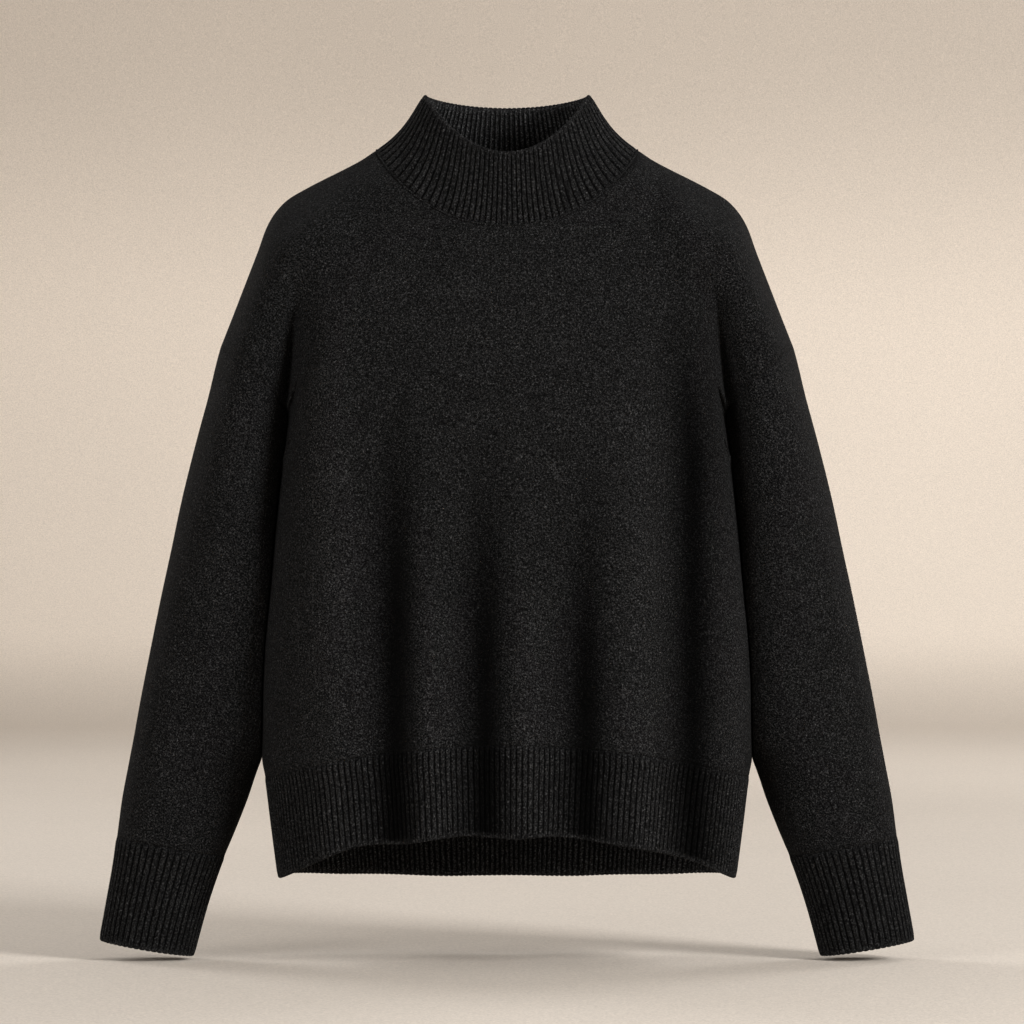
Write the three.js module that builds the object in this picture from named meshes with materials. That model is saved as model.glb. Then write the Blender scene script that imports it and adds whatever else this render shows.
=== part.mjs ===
// A hip-length turtleneck sweater, hollow, in the shape it takes on a general figure.
// Millimetres, +Z up. The front faces -Y and the wearer's left is +X. The origin lies
// between the shoulders, level with the high point where the collar meets the shoulder.
// Every piece is a thin knitted wall between an outer and an inner surface, and the
// pieces lie one seam gap apart where they are linked together.

import * as THREE from 'three';

// Cloth
const WALL = 2.5; // thickness of the plain knit
const RIB_WALL = 2.6; // thickness under the raised ribs of the welts and cuffs
const COLLAR_WALL = 3.2; // the collar is knitted tighter and thicker
const RIB_RELIEF = 1.2; // how far a rib stands up from the wall
const SEAM_GAP = 0.3; // left between two linked pieces
const MIDDLE_GAP = SEAM_GAP / 2; // each piece's share of it

// Counts
const SIDE_ROWS = 9; // rows of a panel from the welt to the underarm
const ARMHOLE_ROWS = 10; // rows from the underarm to the shoulder point
const NECK_COLUMNS = 8; // columns from the middle of the neck to the shoulder seam
const SHOULDER_COLUMNS = 8; // columns along one shoulder seam
const SLEEVE_ROWS = 12;
const SLEEVE_COLUMNS = 2 * ARMHOLE_ROWS;
const WELT_RIBS = 120; // on the front, and again on the back
const CUFF_RIBS = 48;
const COLLAR_RIBS = 100;
const WELT_STRIPS = 2;
const CUFF_STRIPS = 2;
const COLLAR_STRIPS = 3;

// Body seen from the front and from the side: half width, depth of the front and the back
// from the side seam, and exponent of the rounded ring, at each height
const BODY = [
  { z: -608, half: 188.5, front: 121, back: 118, square: 2.7 },
  { z: -554, half: 195.5, front: 126, back: 122, square: 2.7 },
  { z: -521, half: 199.6, front: 130, back: 125, square: 2.7 },
  { z: -500, half: 203, front: 133, back: 127, square: 2.7 },
  { z: -455, half: 203, front: 133, back: 127, square: 2.8 },
  { z: -413, half: 201.5, front: 132, back: 126, square: 2.9 },
  { z: -372, half: 197.5, front: 131, back: 125, square: 3.1 },
  { z: -330, half: 193, front: 130, back: 123, square: 3.3 },
  { z: -289, half: 188.5, front: 128, back: 121, square: 3.5 },
  { z: -247, half: 184, front: 126, back: 119, square: 3.6 },
  { z: -206, half: 181, front: 122, back: 117, square: 3.5 },
  { z: -164, half: 179.5, front: 115, back: 114, square: 3.3 },
  { z: -120, half: 186, front: 107, back: 109, square: 3 },
  { z: -81, half: 208, front: 98, back: 102, square: 2.6 },
  { z: -40, half: 240, front: 90, back: 92, square: 2.5 },
  { z: 20, half: 300, front: 80, back: 82, square: 2.5 },
];
const CHEST_ROUND = 8; // how far the chest rounds into the slope of the shoulder

// Line over the shoulder and down to the armhole seam, seen from the front. Inside the
// neck it runs on as a guide for the form of the chest below it.
const SHOULDER = [
  { x: 0, z: 26 },
  { x: 50, z: 20 },
  { x: 80, z: 11 },
  { x: 107.5, z: 1.7 },
  { x: 120.4, z: -6.6 },
  { x: 136, z: -14.9 },
  { x: 152.7, z: -23.2 },
  { x: 168.5, z: -31.5 },
  { x: 182.2, z: -39.8 },
  { x: 190.5, z: -48.1 },
  { x: 196.3, z: -56.4 },
  { x: 200.4, z: -64.7 },
  { x: 206.3, z: -81.3 },
  { x: 215.8, z: -106 },
  { x: 228.7, z: -139.4 },
  { x: 237.6, z: -162 },
];
// Where the columns of a panel meet that line, as shares of the way to the armhole
const SHOULDER_STATIONS = [
  { share: 0, x: 107.5 },
  { share: 0.2, x: 146 },
  { share: 0.39, x: 182.2 },
  { share: 0.57, x: 203 },
  { share: 0.8, x: 222 },
  { share: 1, x: 237.6 },
];
// Depth of the shoulder's front or back = fall x root of the drop below that line, less a
// share of it close to the line, where the shoulder is rounder
const SHOULDER_ROUND = { fall: 9.3, less: 0.3, within: 15 };

// Arm seen from the front: the side next to the body, the outer side and the half depth
const ARM = [
  { z: -668, inner: 260.4, outer: 340.2, depth: 30 },
  { z: -651, inner: 256, outer: 337.4, depth: 31 },
  { z: -621, inner: 247.5, outer: 332, depth: 34 },
  { z: -588, inner: 236, outer: 326.2, depth: 39 },
  { z: -563, inner: 225.5, outer: 322.9, depth: 43 },
  { z: -538, inner: 215.6, outer: 319.6, depth: 47 },
  { z: -507, inner: 204.5, outer: 313.8, depth: 53 },
  { z: -485, inner: 191, outer: 309.6, depth: 56 },
  { z: -455, inner: 186.5, outer: 304.2, depth: 60 },
  { z: -413, inner: 184.5, outer: 295.9, depth: 64 },
  { z: -372, inner: 183.5, outer: 287.6, depth: 68 },
  { z: -330, inner: 183, outer: 278.5, depth: 72 },
  { z: -289, inner: 181, outer: 269.8, depth: 75 },
  { z: -247, inner: 178, outer: 259.4, depth: 76 },
  { z: -206, inner: 175, outer: 248.6, depth: 76 },
  { z: -162, inner: 168, outer: 237.6, depth: 75 },
  { z: -122.8, inner: 156, outer: 222.4, depth: 75 },
  { z: -81.3, inner: 138, outer: 206.3, depth: 74 },
  { z: -39.8, inner: 110, outer: 182.2, depth: 72 },
  { z: 1.7, inner: 40, outer: 107.5, depth: 70 },
];
const CREASE_TOP = -68; // the crease between body and arm starts here
const CREASE_FULL = -135; // and has its full depth here
const CREASE_ROUND = { top: 24, full: 6 }; // how far body and arm round into each other
const ARM_REACH = { none: 80, full: 150 }; // the arm's form fades out towards the neck
const ARM_PARTS = { from: -203, to: -234 }; // and out of the panels below the armhole seam
const ARM_FULLNESS = 1.2; // how much deeper than the shoulder the upper arm may be
const CREASE_FADES = 75; // depth of cloth below which the crease closes up
const SLEEVE_CLEAR = 1.4; // the sleeve lies along the body's side this far off it
const SLEEVE_LIES = 2; // and rounds into its own form within this
const SLEEVE_FLAT = 0.78; // exponent that squares the sleeve's inner half beside the body
const FLAT = { top: -300, foot: -545, fades: 60 }; // between these heights

// Seam of the sleeve into the armhole, from the shoulder point over the front to the
// underarm. turn goes round the arm in degrees.
const ARMHOLE = [
  { turn: 0, x: 237.6, y: 0, z: -162 },
  { turn: 18, x: 235.2, y: -24, z: -163.6 },
  { turn: 36, x: 229.5, y: -48, z: -168.4 },
  { turn: 54, x: 221.5, y: -65, z: -175 },
  { turn: 72, x: 212.5, y: -73, z: -182.4 },
  { turn: 90, x: 203, y: -74, z: -190.2 },
  { turn: 108, x: 194.5, y: -68, z: -197.5 },
  { turn: 126, x: 188, y: -56, z: -206 },
  { turn: 135, x: 183.4, y: -42, z: -212 },
  { turn: 144, x: 180.6, y: -36, z: -220 },
  { turn: 162, x: 183.4, y: -24, z: -244 },
  { turn: 180, x: 186.3, y: 0, z: -268 },
];
const ARMHOLE_FACES = { out: 1.6, up: 0.45 }; // how the seam's rim faces at the shoulder
const SLEEVE_SETTLE = 75; // below the seam the sleeve has its own form after this length
const SLEEVE_SPACING = 1.25; // the sleeve's rows are closer together near the seam

// Neck
const NECK_HALF = 108; // half width of the collar seam
const NECK_DROP = { front: 65.5, back: 25 }; // from the shoulder to the middle
const NECK_SQUARENESS = 2.2; // exponents of the seam's form seen from the front
const NECK_HOLLOW = 0.8;
const RIM_HALF = 69; // half width of the collar's upper edge
const RIM_PEAK = 45.7; // height of the edge at the sides of the neck
const RIM_FRONT = { y: -72, z: -5.5 };
const RIM_BACK = { y: 54, z: 38.8 };
const RIM_SIDE_Y = -8;
const RIM_DIP = 1.8; // exponent of the dip of the edge from the sides
const COLLAR_LEAN = { first: 0.8, second: 0.55 }; // how the wall bends upright on its way up

// Welts: upper seam and lower edge at the side, and how much the middle rises or drops
const WELT_SEAM = { side: -517, front: 30, back: -2 };
const WELT_EDGE = { side: -600, front: 39.5, back: -7 };
const WELT_EDGE_SQUARENESS = 2.4;

// Cuffs: middle height of the seam and of the edge, and how much the outer side is higher
const CUFF_SEAM = { z: -575.6, rise: 7.9 };
const CUFF_EDGE = { z: -659.2, rise: 6.6 };
const CUFF_SLOPE = 0.175; // rise of that seam for its width

// Soft upright folds: place at the top and at the foot, where they start, how far they
// take to form, half width and depth (a negative depth is a ridge)
const FRONT_FOLDS = [
  { x: -158, foot: -160, start: -250, forms: 200, half: 22, depth: -3 },
  { x: -101, foot: -101, start: -150, forms: 240, half: 24, depth: 14 },
  { x: -64, foot: -66, start: -230, forms: 260, half: 20, depth: -4 },
  { x: -27, foot: -29, start: -190, forms: 240, half: 24, depth: 13 },
  { x: 14, foot: 14, start: -260, forms: 240, half: 20, depth: -4 },
  { x: 55, foot: 52, start: -220, forms: 240, half: 24, depth: 14 },
  { x: 92, foot: 94, start: -200, forms: 300, half: 20, depth: -5 },
  { x: 126, foot: 138, start: -70, forms: 200, half: 26, depth: 18 },
  { x: 165, foot: 172, start: -130, forms: 220, half: 14, depth: -4 },
];
const BACK_FOLDS = [
  { x: -140, foot: -146, start: -150, forms: 300, half: 26, depth: 12 },
  { x: -96, foot: -100, start: -220, forms: 260, half: 24, depth: -4 },
  { x: -48, foot: -54, start: -230, forms: 280, half: 32, depth: 10 },
  { x: 2, foot: 4, start: -260, forms: 240, half: 26, depth: -4 },
  { x: 52, foot: 58, start: -200, forms: 300, half: 30, depth: 9 },
  { x: 138, foot: 140, start: -170, forms: 300, half: 28, depth: 11 },
];
// Sleeve folds run down the arm: turn round it at the top and at the foot
const SLEEVE_FOLDS = [
  { turn: 62, foot: 84, start: -230, forms: 160, half: 30, depth: 4.5, ends: -560, fades: 70 },
  { turn: 118, foot: 128, start: -300, forms: 140, half: 26, depth: 5, ends: -570, fades: 60 },
  { turn: 250, foot: 268, start: -240, forms: 160, half: 30, depth: 5, ends: -560, fades: 60 },
];

// Numbers
const clamp = (value, low, high) => Math.min(Math.max(value, low), high);
const mix = (from, to, share) => from + (to - from) * share;
const ease = (share) => {
  const t = clamp(share, 0, 1);
  return t * t * (3 - 2 * t);
};
const radians = THREE.MathUtils.degToRad;

// The larger or the smaller of two values, rounded where they meet within the given reach
function softMax(a, b, reach) {
  return (a + b + Math.hypot(a - b, reach)) / 2;
}

function softMin(a, b, reach) {
  return (a + b - Math.hypot(a - b, reach)) / 2;
}

// Value of one column of a table at a key between its rows, on smooth curves that never
// swing past the rows
function read(rows, key, column, at) {
  const first = rows[0];
  const last = rows[rows.length - 1];
  if (at <= first[key]) return first[column];
  if (at >= last[key]) return last[column];
  let i = 0;
  while (rows[i + 1][key] < at) i += 1;
  const slope = (k) => {
    if (k < 0 || k > rows.length - 2) return 0;
    return (rows[k + 1][column] - rows[k][column]) / (rows[k + 1][key] - rows[k][key]);
  };
  const tangent = (k) => {
    if (k === 0) return slope(0);
    if (k === rows.length - 1) return slope(k - 1);
    const before = slope(k - 1);
    const after = slope(k);
    return before * after > 0 ? (2 * before * after) / (before + after) : 0;
  };
  const span = rows[i + 1][key] - rows[i][key];
  const t = (at - rows[i][key]) / span;
  const u = 1 - t;
  return (
    rows[i][column] * (1 + 2 * t) * u * u +
    rows[i + 1][column] * t * t * (3 - 2 * t) +
    span * t * u * (tangent(i) * u - tangent(i + 1) * t)
  );
}

// How deep the upright folds of a panel are at a place
function foldDepth(folds, x, z) {
  let depth = 0;
  for (const fold of folds) {
    const fall = ease((fold.start - z) / fold.forms);
    const middle = mix(fold.x, fold.foot, fall);
    depth += fold.depth * fall * Math.exp(-(((x - middle) / fold.half) ** 2));
  }
  return depth;
}

// Depth of the front or the back of the body and upper arm at a place of the front view
function bodyDepth(side, x, z) {
  const across = Math.abs(x);
  const share = clamp(across / read(BODY, 'z', 'half', z), 0, 1);
  const square = read(BODY, 'z', 'square', z);
  const ring = (1 - share ** square) ** (1 / square);
  const chest = read(BODY, 'z', side.key, z) * ring;
  const drop = Math.max(read(SHOULDER, 'x', 'z', across) - z, 0);
  const near = 1 - SHOULDER_ROUND.less * Math.exp(-drop / SHOULDER_ROUND.within);
  const shoulder = SHOULDER_ROUND.fall * Math.sqrt(drop) * near;
  const body = softMin(chest, shoulder, CHEST_ROUND);

  const inner = read(ARM, 'z', 'inner', z);
  const outer = read(ARM, 'z', 'outer', z);
  const middle = (inner + outer) / 2;
  const crease = ease((CREASE_TOP - z) / (CREASE_TOP - CREASE_FULL));
  const aside = (across - middle) / (outer - middle);
  const turn = clamp(aside > 0 ? aside : -aside * crease, 0, 1);
  const around = read(ARM, 'z', 'depth', z) * Math.sqrt(1 - turn * turn);
  const beside = ease((across - ARM_REACH.none) / (ARM_REACH.full - ARM_REACH.none));
  const above = ease((z - ARM_PARTS.to) / (ARM_PARTS.from - ARM_PARTS.to));
  const arm = beside * above * softMin(around, ARM_FULLNESS * shoulder, CHEST_ROUND);
  const round = mix(CREASE_ROUND.top, CREASE_ROUND.full, crease);
  const meet = round * ease(Math.min(body, arm) / CREASE_FADES);
  return Math.max(softMax(body, arm, meet), 0) - foldDepth(side.folds, x, z) * ring;
}

const FRONT = { key: 'front', out: -1, rim: RIM_FRONT, folds: FRONT_FOLDS };
const BACK = { key: 'back', out: 1, rim: RIM_BACK, folds: BACK_FOLDS };

// Collar seam at an angle from the middle of the front or the back towards the shoulder
function neckPoint(side, angle) {
  const across = Math.abs(Math.sin(angle));
  const hollow = (1 - Math.min(across, 1) ** NECK_SQUARENESS) ** NECK_HOLLOW;
  const x = NECK_HALF * Math.sin(angle);
  const z = mix(read(SHOULDER, 'x', 'z', NECK_HALF), -NECK_DROP[side.key], hollow);
  return new THREE.Vector3(x, side.out * bodyDepth(side, x, z), z);
}

// Armhole seam at an angle round the arm, with the outward direction shared by the panel
// and the sleeve
function armholePoint(turn) {
  const front = turn <= 180 ? turn : 360 - turn;
  const sign = turn <= 180 ? 1 : -1;
  return new THREE.Vector3(
    read(ARMHOLE, 'turn', 'x', front),
    sign * read(ARMHOLE, 'turn', 'y', front),
    read(ARMHOLE, 'turn', 'z', front),
  );
}

function armholeNormal(turn) {
  const over = Math.max(Math.cos(radians(turn)), 0);
  const under = Math.max(-Math.cos(radians(turn)), 0);
  const { out, up } = ARMHOLE_FACES;
  return new THREE.Vector3(out * over, -Math.sin(radians(turn)), up * over - under).normalize();
}

// Height of the seam above a welt, and of its lower edge, at a share of the half width
function weltSeam(side, share) {
  return WELT_SEAM.side + WELT_SEAM[side.key] * (1 - share * share);
}

function weltEdge(side, share) {
  return WELT_EDGE.side + WELT_EDGE[side.key] * (1 - Math.abs(share) ** WELT_EDGE_SQUARENESS);
}

// A place of the body below the underarm: share of the half width, and height
function torsoPoint(side, share, z) {
  const x = share * read(BODY, 'z', 'half', z);
  return new THREE.Vector3(x, side.out * bodyDepth(side, x, z), z);
}

// Panel of the front or back. column runs from -1 to 1 across, row from 0 at the welt to
// 1 at the neck and shoulders. Its four edges are blended across the front view, and the
// depth of the body gives the third direction.
const UNDERARM_ROW = 0.62;
const ROW_SPACING = 1.6; // the rows above the underarm draw together towards it
const NECK_SHARE = 0.5; // share of the columns that end at the neck
const EDGE_HOLD = 40; // exponent that keeps the armhole's own depth to the panel's edge
const FAN = { out: 85, down: 50 }; // how far the columns spread out below the neck
const FAN_SHARPNESS = { neck: 2, shoulder: 5 }; // exponents of that on either side of the corner
const CORNER = { apart: 700, within: 0.12 }; // columns below the neck's corner stay apart

function panelEdge(row) {
  if (row < UNDERARM_ROW) {
    const z = mix(WELT_SEAM.side, ARMHOLE[ARMHOLE.length - 1].z, row / UNDERARM_ROW);
    const half = read(BODY, 'z', 'half', z);
    return new THREE.Vector3(half, 0, z);
  }
  const turn = 180 * ((1 - row) / (1 - UNDERARM_ROW)) ** (1 / ROW_SPACING);
  return armholePoint(turn);
}

function panelTop(side, column) {
  const way = Math.abs(column);
  if (way <= NECK_SHARE) return neckPoint(side, ((way / NECK_SHARE) * Math.PI) / 2);
  const x = read(SHOULDER_STATIONS, 'share', 'x', (way - NECK_SHARE) / (1 - NECK_SHARE));
  return new THREE.Vector3(x, 0, read(SHOULDER, 'x', 'z', x));
}

function panelPoint(side, column, row) {
  const way = Math.abs(column);
  const spread = Math.sin((way * Math.PI) / 2);
  const top = panelTop(side, column);
  const edge = panelEdge(row);
  const corner = panelTop(side, 1);
  const foot = torsoPoint(side, spread, weltSeam(side, spread));
  const footHalf = read(BODY, 'z', 'half', WELT_SEAM.side);
  const pull = spread ** 2 * (edge.x - mix(footHalf, corner.x, row));
  const sharpness = way > NECK_SHARE ? FAN_SHARPNESS.shoulder : FAN_SHARPNESS.neck;
  const fan = Math.sin(way * Math.PI) ** sharpness * Math.sqrt(1 - row) * row ** 3;
  const past = way - NECK_SHARE;
  const apart = past * Math.exp(-((past / CORNER.within) ** 2)) * row ** 2 * (1 - row);
  const settle = edge.z - mix(WELT_SEAM.side, corner.z, row) - FAN.down * fan;
  const z = mix(foot.z, top.z, row) + settle;
  const spreading = pull + FAN.out * fan + CORNER.apart * apart;
  const x = Math.sign(column) * (mix(foot.x, Math.abs(top.x), row) + spreading);
  const error = spread ** EDGE_HOLD * (Math.abs(edge.y) - bodyDepth(side, edge.x, edge.z));
  return new THREE.Vector3(x, side.out * Math.max(bodyDepth(side, x, z) + error, 0), z);
}

// Half width of the body at a place in its depth
function bodySide(y, z) {
  const deep = read(BODY, 'z', y < 0 ? 'front' : 'back', z);
  const share = clamp(Math.abs(y) / deep, 0, 1);
  const square = read(BODY, 'z', 'square', z);
  return read(BODY, 'z', 'half', z) * (1 - share ** square) ** (1 / square);
}

// Sleeve and cuff of the wearer's left. turn goes round the arm, z is the height. The arm is
// an ellipse that lies along the body's side where it would enter the body.
function armPoint(turn, z) {
  const angle = radians(turn);
  const inner = read(ARM, 'z', 'inner', z);
  const outer = read(ARM, 'z', 'outer', z);
  let sink = 0;
  for (const fold of SLEEVE_FOLDS) {
    const fall = ease((fold.start - z) / fold.forms) * ease((z - fold.ends) / fold.fades);
    const middle = mix(fold.turn, fold.foot, (fold.start - z) / (fold.start - fold.ends));
    sink += fold.depth * fall * Math.exp(-(((turn - middle) / fold.half) ** 2));
  }
  const beside = ease((FLAT.top - z) / FLAT.fades) * ease((z - FLAT.foot) / FLAT.fades);
  const power = Math.cos(angle) < 0 ? mix(1, SLEEVE_FLAT, beside) : 1;
  const bent = (value) => Math.sign(value) * Math.abs(value) ** power;
  const half = (outer - inner) / 2;
  const x = (inner + outer) / 2 + (half - sink) * bent(Math.cos(angle));
  const y = -(read(ARM, 'z', 'depth', z) - sink) * bent(Math.sin(angle));
  return new THREE.Vector3(softMax(x, bodySide(y, z) + SLEEVE_CLEAR, SLEEVE_LIES), y, z);
}

function sleevePoint(turn, row) {
  const seam = armholePoint(turn);
  const away = new THREE.Vector3().crossVectors(armholeNormal(turn), armholeTangent(turn));
  seam.addScaledVector(away.normalize(), SEAM_GAP);
  const foot = CUFF_SEAM.z + CUFF_SEAM.rise * Math.cos(radians(turn));
  const z = mix(seam.z, foot, row);
  const free = armPoint(turn, z);
  const error = seam.sub(armPoint(turn, seam.z));
  const hold = 1 - ease((row * (seam.z - foot)) / SLEEVE_SETTLE);
  free.x += error.x * hold;
  free.y += error.y * hold;
  return free;
}

function armholeTangent(turn) {
  const step = 1;
  const ahead = armholePoint((turn + step) % 360);
  const behind = armholePoint((turn - step + 360) % 360);
  return ahead.sub(behind).normalize();
}

function cuffPoint(turn, row) {
  const top = CUFF_SEAM.z + CUFF_SEAM.rise * Math.cos(radians(turn)) - SEAM_GAP;
  const foot = CUFF_EDGE.z + CUFF_EDGE.rise * Math.cos(radians(turn));
  return armPoint(turn, mix(top, foot, row));
}

// Collar: turn goes round the neck from the middle of the front, rise from 0 at the seam
// to 1 at the upper edge. The wall leans in from the seam and straightens towards the edge.
function rimPoint(turn) {
  const angle = radians(turn);
  const side = Math.cos(angle) >= 0 ? FRONT : BACK;
  const facing = Math.abs(Math.cos(angle));
  return new THREE.Vector3(
    RIM_HALF * Math.sin(angle),
    mix(RIM_SIDE_Y, side.rim.y, facing),
    mix(RIM_PEAK, side.rim.z, facing ** RIM_DIP),
  );
}

function neckSeam(turn) {
  const angle = radians(turn);
  const front = Math.cos(angle) >= 0;
  return neckPoint(front ? FRONT : BACK, front ? angle : Math.PI - angle);
}

// A curve round the neck as the straight stretches between the panels' points
function neckChord(curve, turn) {
  const step = 90 / NECK_COLUMNS;
  const from = Math.floor(turn / step + 1e-9) * step;
  return curve(from).lerp(curve(from + step), (turn - from) / step);
}

// Outward direction at the collar seam, and the direction in which the collar leaves it
const NECK_LIFT = 0.75;

function neckNormal(turn) {
  const angle = radians(turn);
  return new THREE.Vector3(Math.sin(angle), -Math.cos(angle), NECK_LIFT).normalize();
}

function neckRise(turn) {
  const angle = radians(turn);
  const lean = -NECK_LIFT;
  return new THREE.Vector3(lean * Math.sin(angle), -lean * Math.cos(angle), 1).normalize();
}

function collarPoint(turn, rise) {
  const seam = neckChord(neckSeam, turn);
  seam.addScaledVector(neckChord(neckRise, turn), SEAM_GAP);
  const rim = rimPoint(turn);
  const { first, second } = COLLAR_LEAN;
  const lean = (1 - rise) * (1 - first * rise + second * rise * rise);
  return new THREE.Vector3(
    mix(rim.x, seam.x, lean),
    mix(rim.y, seam.y, lean),
    mix(seam.z, rim.z, rise),
  );
}

// Outward direction of a surface, by small steps along its two parameters
function outward(surface, a, b, stepA, stepB, sign) {
  const alongA = surface(a + stepA, b).sub(surface(a - stepA, b));
  const alongB = surface(a, b + stepB).sub(surface(a, b - stepB));
  return alongA.cross(alongB).normalize().multiplyScalar(sign);
}

// The same direction turned into the flat of a seam, so that linked rims lie parallel
function inSeam(normal, slope) {
  const across = new THREE.Vector3(-slope, 0, 1).normalize();
  return normal.projectOnPlane(across).normalize();
}

// A closed wall is collected here as points and triangles
class Wall {
  constructor() {
    this.positions = [];
    this.triangles = [];
  }

  grid(rows, columns, place) {
    const lines = [];
    for (let row = 0; row < rows; row += 1) {
      const line = [];
      for (let column = 0; column < columns; column += 1) {
        const point = place(row, column);
        line.push(this.positions.length / 3);
        this.positions.push(point.x, point.y, point.z);
      }
      lines.push(line);
    }
    return lines;
  }

  close(lines) {
    return lines.map((line) => [...line, line[0]]);
  }

  cover(lines, flipped) {
    for (let row = 0; row + 1 < lines.length; row += 1) {
      for (let column = 0; column + 1 < lines[row].length; column += 1) {
        const a = lines[row][column];
        const b = lines[row][column + 1];
        const c = lines[row + 1][column + 1];
        const d = lines[row + 1][column];
        if (flipped) this.triangles.push(a, c, b, a, d, c);
        else this.triangles.push(a, b, c, a, c, d);
      }
    }
  }

  // Joins two lines of points that may differ in number
  join(one, other) {
    let i = 0;
    let k = 0;
    while (i < one.length - 1 || k < other.length - 1) {
      const nextOne = (i + 1) / (one.length - 1);
      const nextOther = (k + 1) / (other.length - 1);
      if (k === other.length - 1 || (i < one.length - 1 && nextOne <= nextOther)) {
        this.triangles.push(one[i + 1], one[i], other[k]);
        i += 1;
      } else {
        this.triangles.push(one[i], other[k], other[k + 1]);
        k += 1;
      }
    }
  }

  // Outer and inner lines become a wall: rims at both ends, and at both sides if open
  shell(outer, inner, open) {
    this.cover(outer, false);
    this.cover(inner, true);
    this.join(outer[0], inner[0]);
    this.join(inner[inner.length - 1], outer[outer.length - 1]);
    if (!open) return;
    const left = (lines) => lines.map((line) => line[0]);
    const right = (lines) => lines.map((line) => line[line.length - 1]);
    this.join(left(inner), left(outer));
    this.join(right(outer), right(inner));
  }

  volume() {
    const point = (k) => new THREE.Vector3().fromArray(this.positions, 3 * this.triangles[k]);
    let sum = 0;
    for (let k = 0; k < this.triangles.length; k += 3) {
      sum += point(k).dot(point(k + 1).cross(point(k + 2))) / 6;
    }
    return sum;
  }

  geometry() {
    const triangles = this.triangles.slice();
    if (this.volume() < 0) triangles.reverse();
    const geometry = new THREE.BufferGeometry();
    geometry.setAttribute('position', new THREE.Float32BufferAttribute(this.positions, 3));
    geometry.setIndex(triangles);
    geometry.computeVertexNormals();
    return geometry;
  }
}

// Panels: rows follow the side seam and then the sleeve's columns round the armhole
function panelRow(row) {
  if (row <= SIDE_ROWS) return (UNDERARM_ROW * row) / SIDE_ROWS;
  const left = (SIDE_ROWS + ARMHOLE_ROWS - row) / ARMHOLE_ROWS;
  return 1 - (1 - UNDERARM_ROW) * left ** ROW_SPACING;
}

function panelNormal(side, column, row) {
  const last = SIDE_ROWS + ARMHOLE_ROWS;
  const across = NECK_COLUMNS + SHOULDER_COLUMNS;
  const way = Math.abs(column) / across;
  const hand = Math.sign(column);
  if (way === 1 && row > SIDE_ROWS) {
    const normal = armholeNormal((180 * (last - row)) / ARMHOLE_ROWS);
    return new THREE.Vector3(hand * normal.x, -side.out * normal.y, normal.z);
  }
  if (way === 1 && row === SIDE_ROWS) return new THREE.Vector3(0, 0, -1);
  if (way === 1) return new THREE.Vector3(hand, 0, 0);
  if (row === last && way > NECK_SHARE) {
    const ahead = panelTop(side, way + 0.01);
    const behind = panelTop(side, way - 0.01);
    return new THREE.Vector3(hand * (behind.z - ahead.z), 0, ahead.x - behind.x).normalize();
  }
  if (row === last) {
    const normal = neckNormal((90 * way) / NECK_SHARE);
    return new THREE.Vector3(hand * normal.x, -side.out * normal.y, normal.z);
  }
  const surface = (a, b) => panelPoint(side, a, b);
  const span = panelRow(row);
  const normal = outward(surface, column / across, span, 0.002, 0.002, -side.out);
  return row === 0 ? inSeam(normal, 0) : normal;
}

function panelWall(side) {
  const across = NECK_COLUMNS + SHOULDER_COLUMNS;
  const rows = SIDE_ROWS + ARMHOLE_ROWS + 1;
  const columns = 2 * across + 1;
  const wall = new Wall();
  const place = (row, column, inside) => {
    const at = column - across;
    const point = panelPoint(side, at / across, panelRow(row));
    point.addScaledVector(panelNormal(side, at, row), -inside);
    const seam = side.out * MIDDLE_GAP;
    point.y = side.out > 0 ? Math.max(point.y, seam) : Math.min(point.y, seam);
    return point;
  };
  const outer = wall.grid(rows, columns, (row, column) => place(row, column, 0));
  const inner = wall.grid(rows, columns, (row, column) => place(row, column, WALL));
  wall.shell(outer, inner, true);
  return wall.geometry();
}

function sleeveWall(hand) {
  const wall = new Wall();
  const step = 360 / SLEEVE_COLUMNS;
  const span = (row) => (row / SLEEVE_ROWS) ** SLEEVE_SPACING;
  const place = (row, column, inside) => {
    const turn = column * step;
    const at = span(row);
    const point = sleevePoint(turn, at);
    const normal =
      row === 0
        ? armholeNormal(turn)
        : outward(sleevePoint, turn, Math.min(at, 0.998), 0.5, 0.002, 1);
    if (row === SLEEVE_ROWS) inSeam(normal, CUFF_SLOPE);
    point.addScaledVector(normal, -inside);
    point.x *= hand;
    return point;
  };
  const rows = SLEEVE_ROWS + 1;
  const outer = wall.grid(rows, SLEEVE_COLUMNS, (row, column) => place(row, column, 0));
  const inner = wall.grid(rows, SLEEVE_COLUMNS, (row, column) => place(row, column, WALL));
  wall.shell(wall.close(outer), wall.close(inner), false);
  return wall.geometry();
}

// Ribbed pieces: two points for each rib outside, plain and coarser inside
function ribbedTube(place, ribs, strips, columns) {
  const wall = new Wall();
  const fine = 2 * ribs;
  const outer = wall.grid(strips + 1, fine, (row, column) =>
    place((360 * column) / fine, row / strips, column % 2 === 0 ? RIB_RELIEF : 0, false),
  );
  const inner = wall.grid(strips + 1, columns, (row, column) =>
    place((360 * column) / columns, row / strips, 0, true),
  );
  wall.shell(wall.close(outer), wall.close(inner), false);
  return wall.geometry();
}

function cuffWall(hand) {
  const place = (turn, row, relief, inside) => {
    const point = cuffPoint(turn, row);
    const normal = outward(cuffPoint, turn, clamp(row, 0.01, 0.99), 0.5, 0.005, 1);
    if (row === 0) inSeam(normal, CUFF_SLOPE);
    point.addScaledVector(normal, inside ? -RIB_WALL : relief);
    point.x *= hand;
    return point;
  };
  return ribbedTube(place, CUFF_RIBS, CUFF_STRIPS, SLEEVE_COLUMNS);
}

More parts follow.
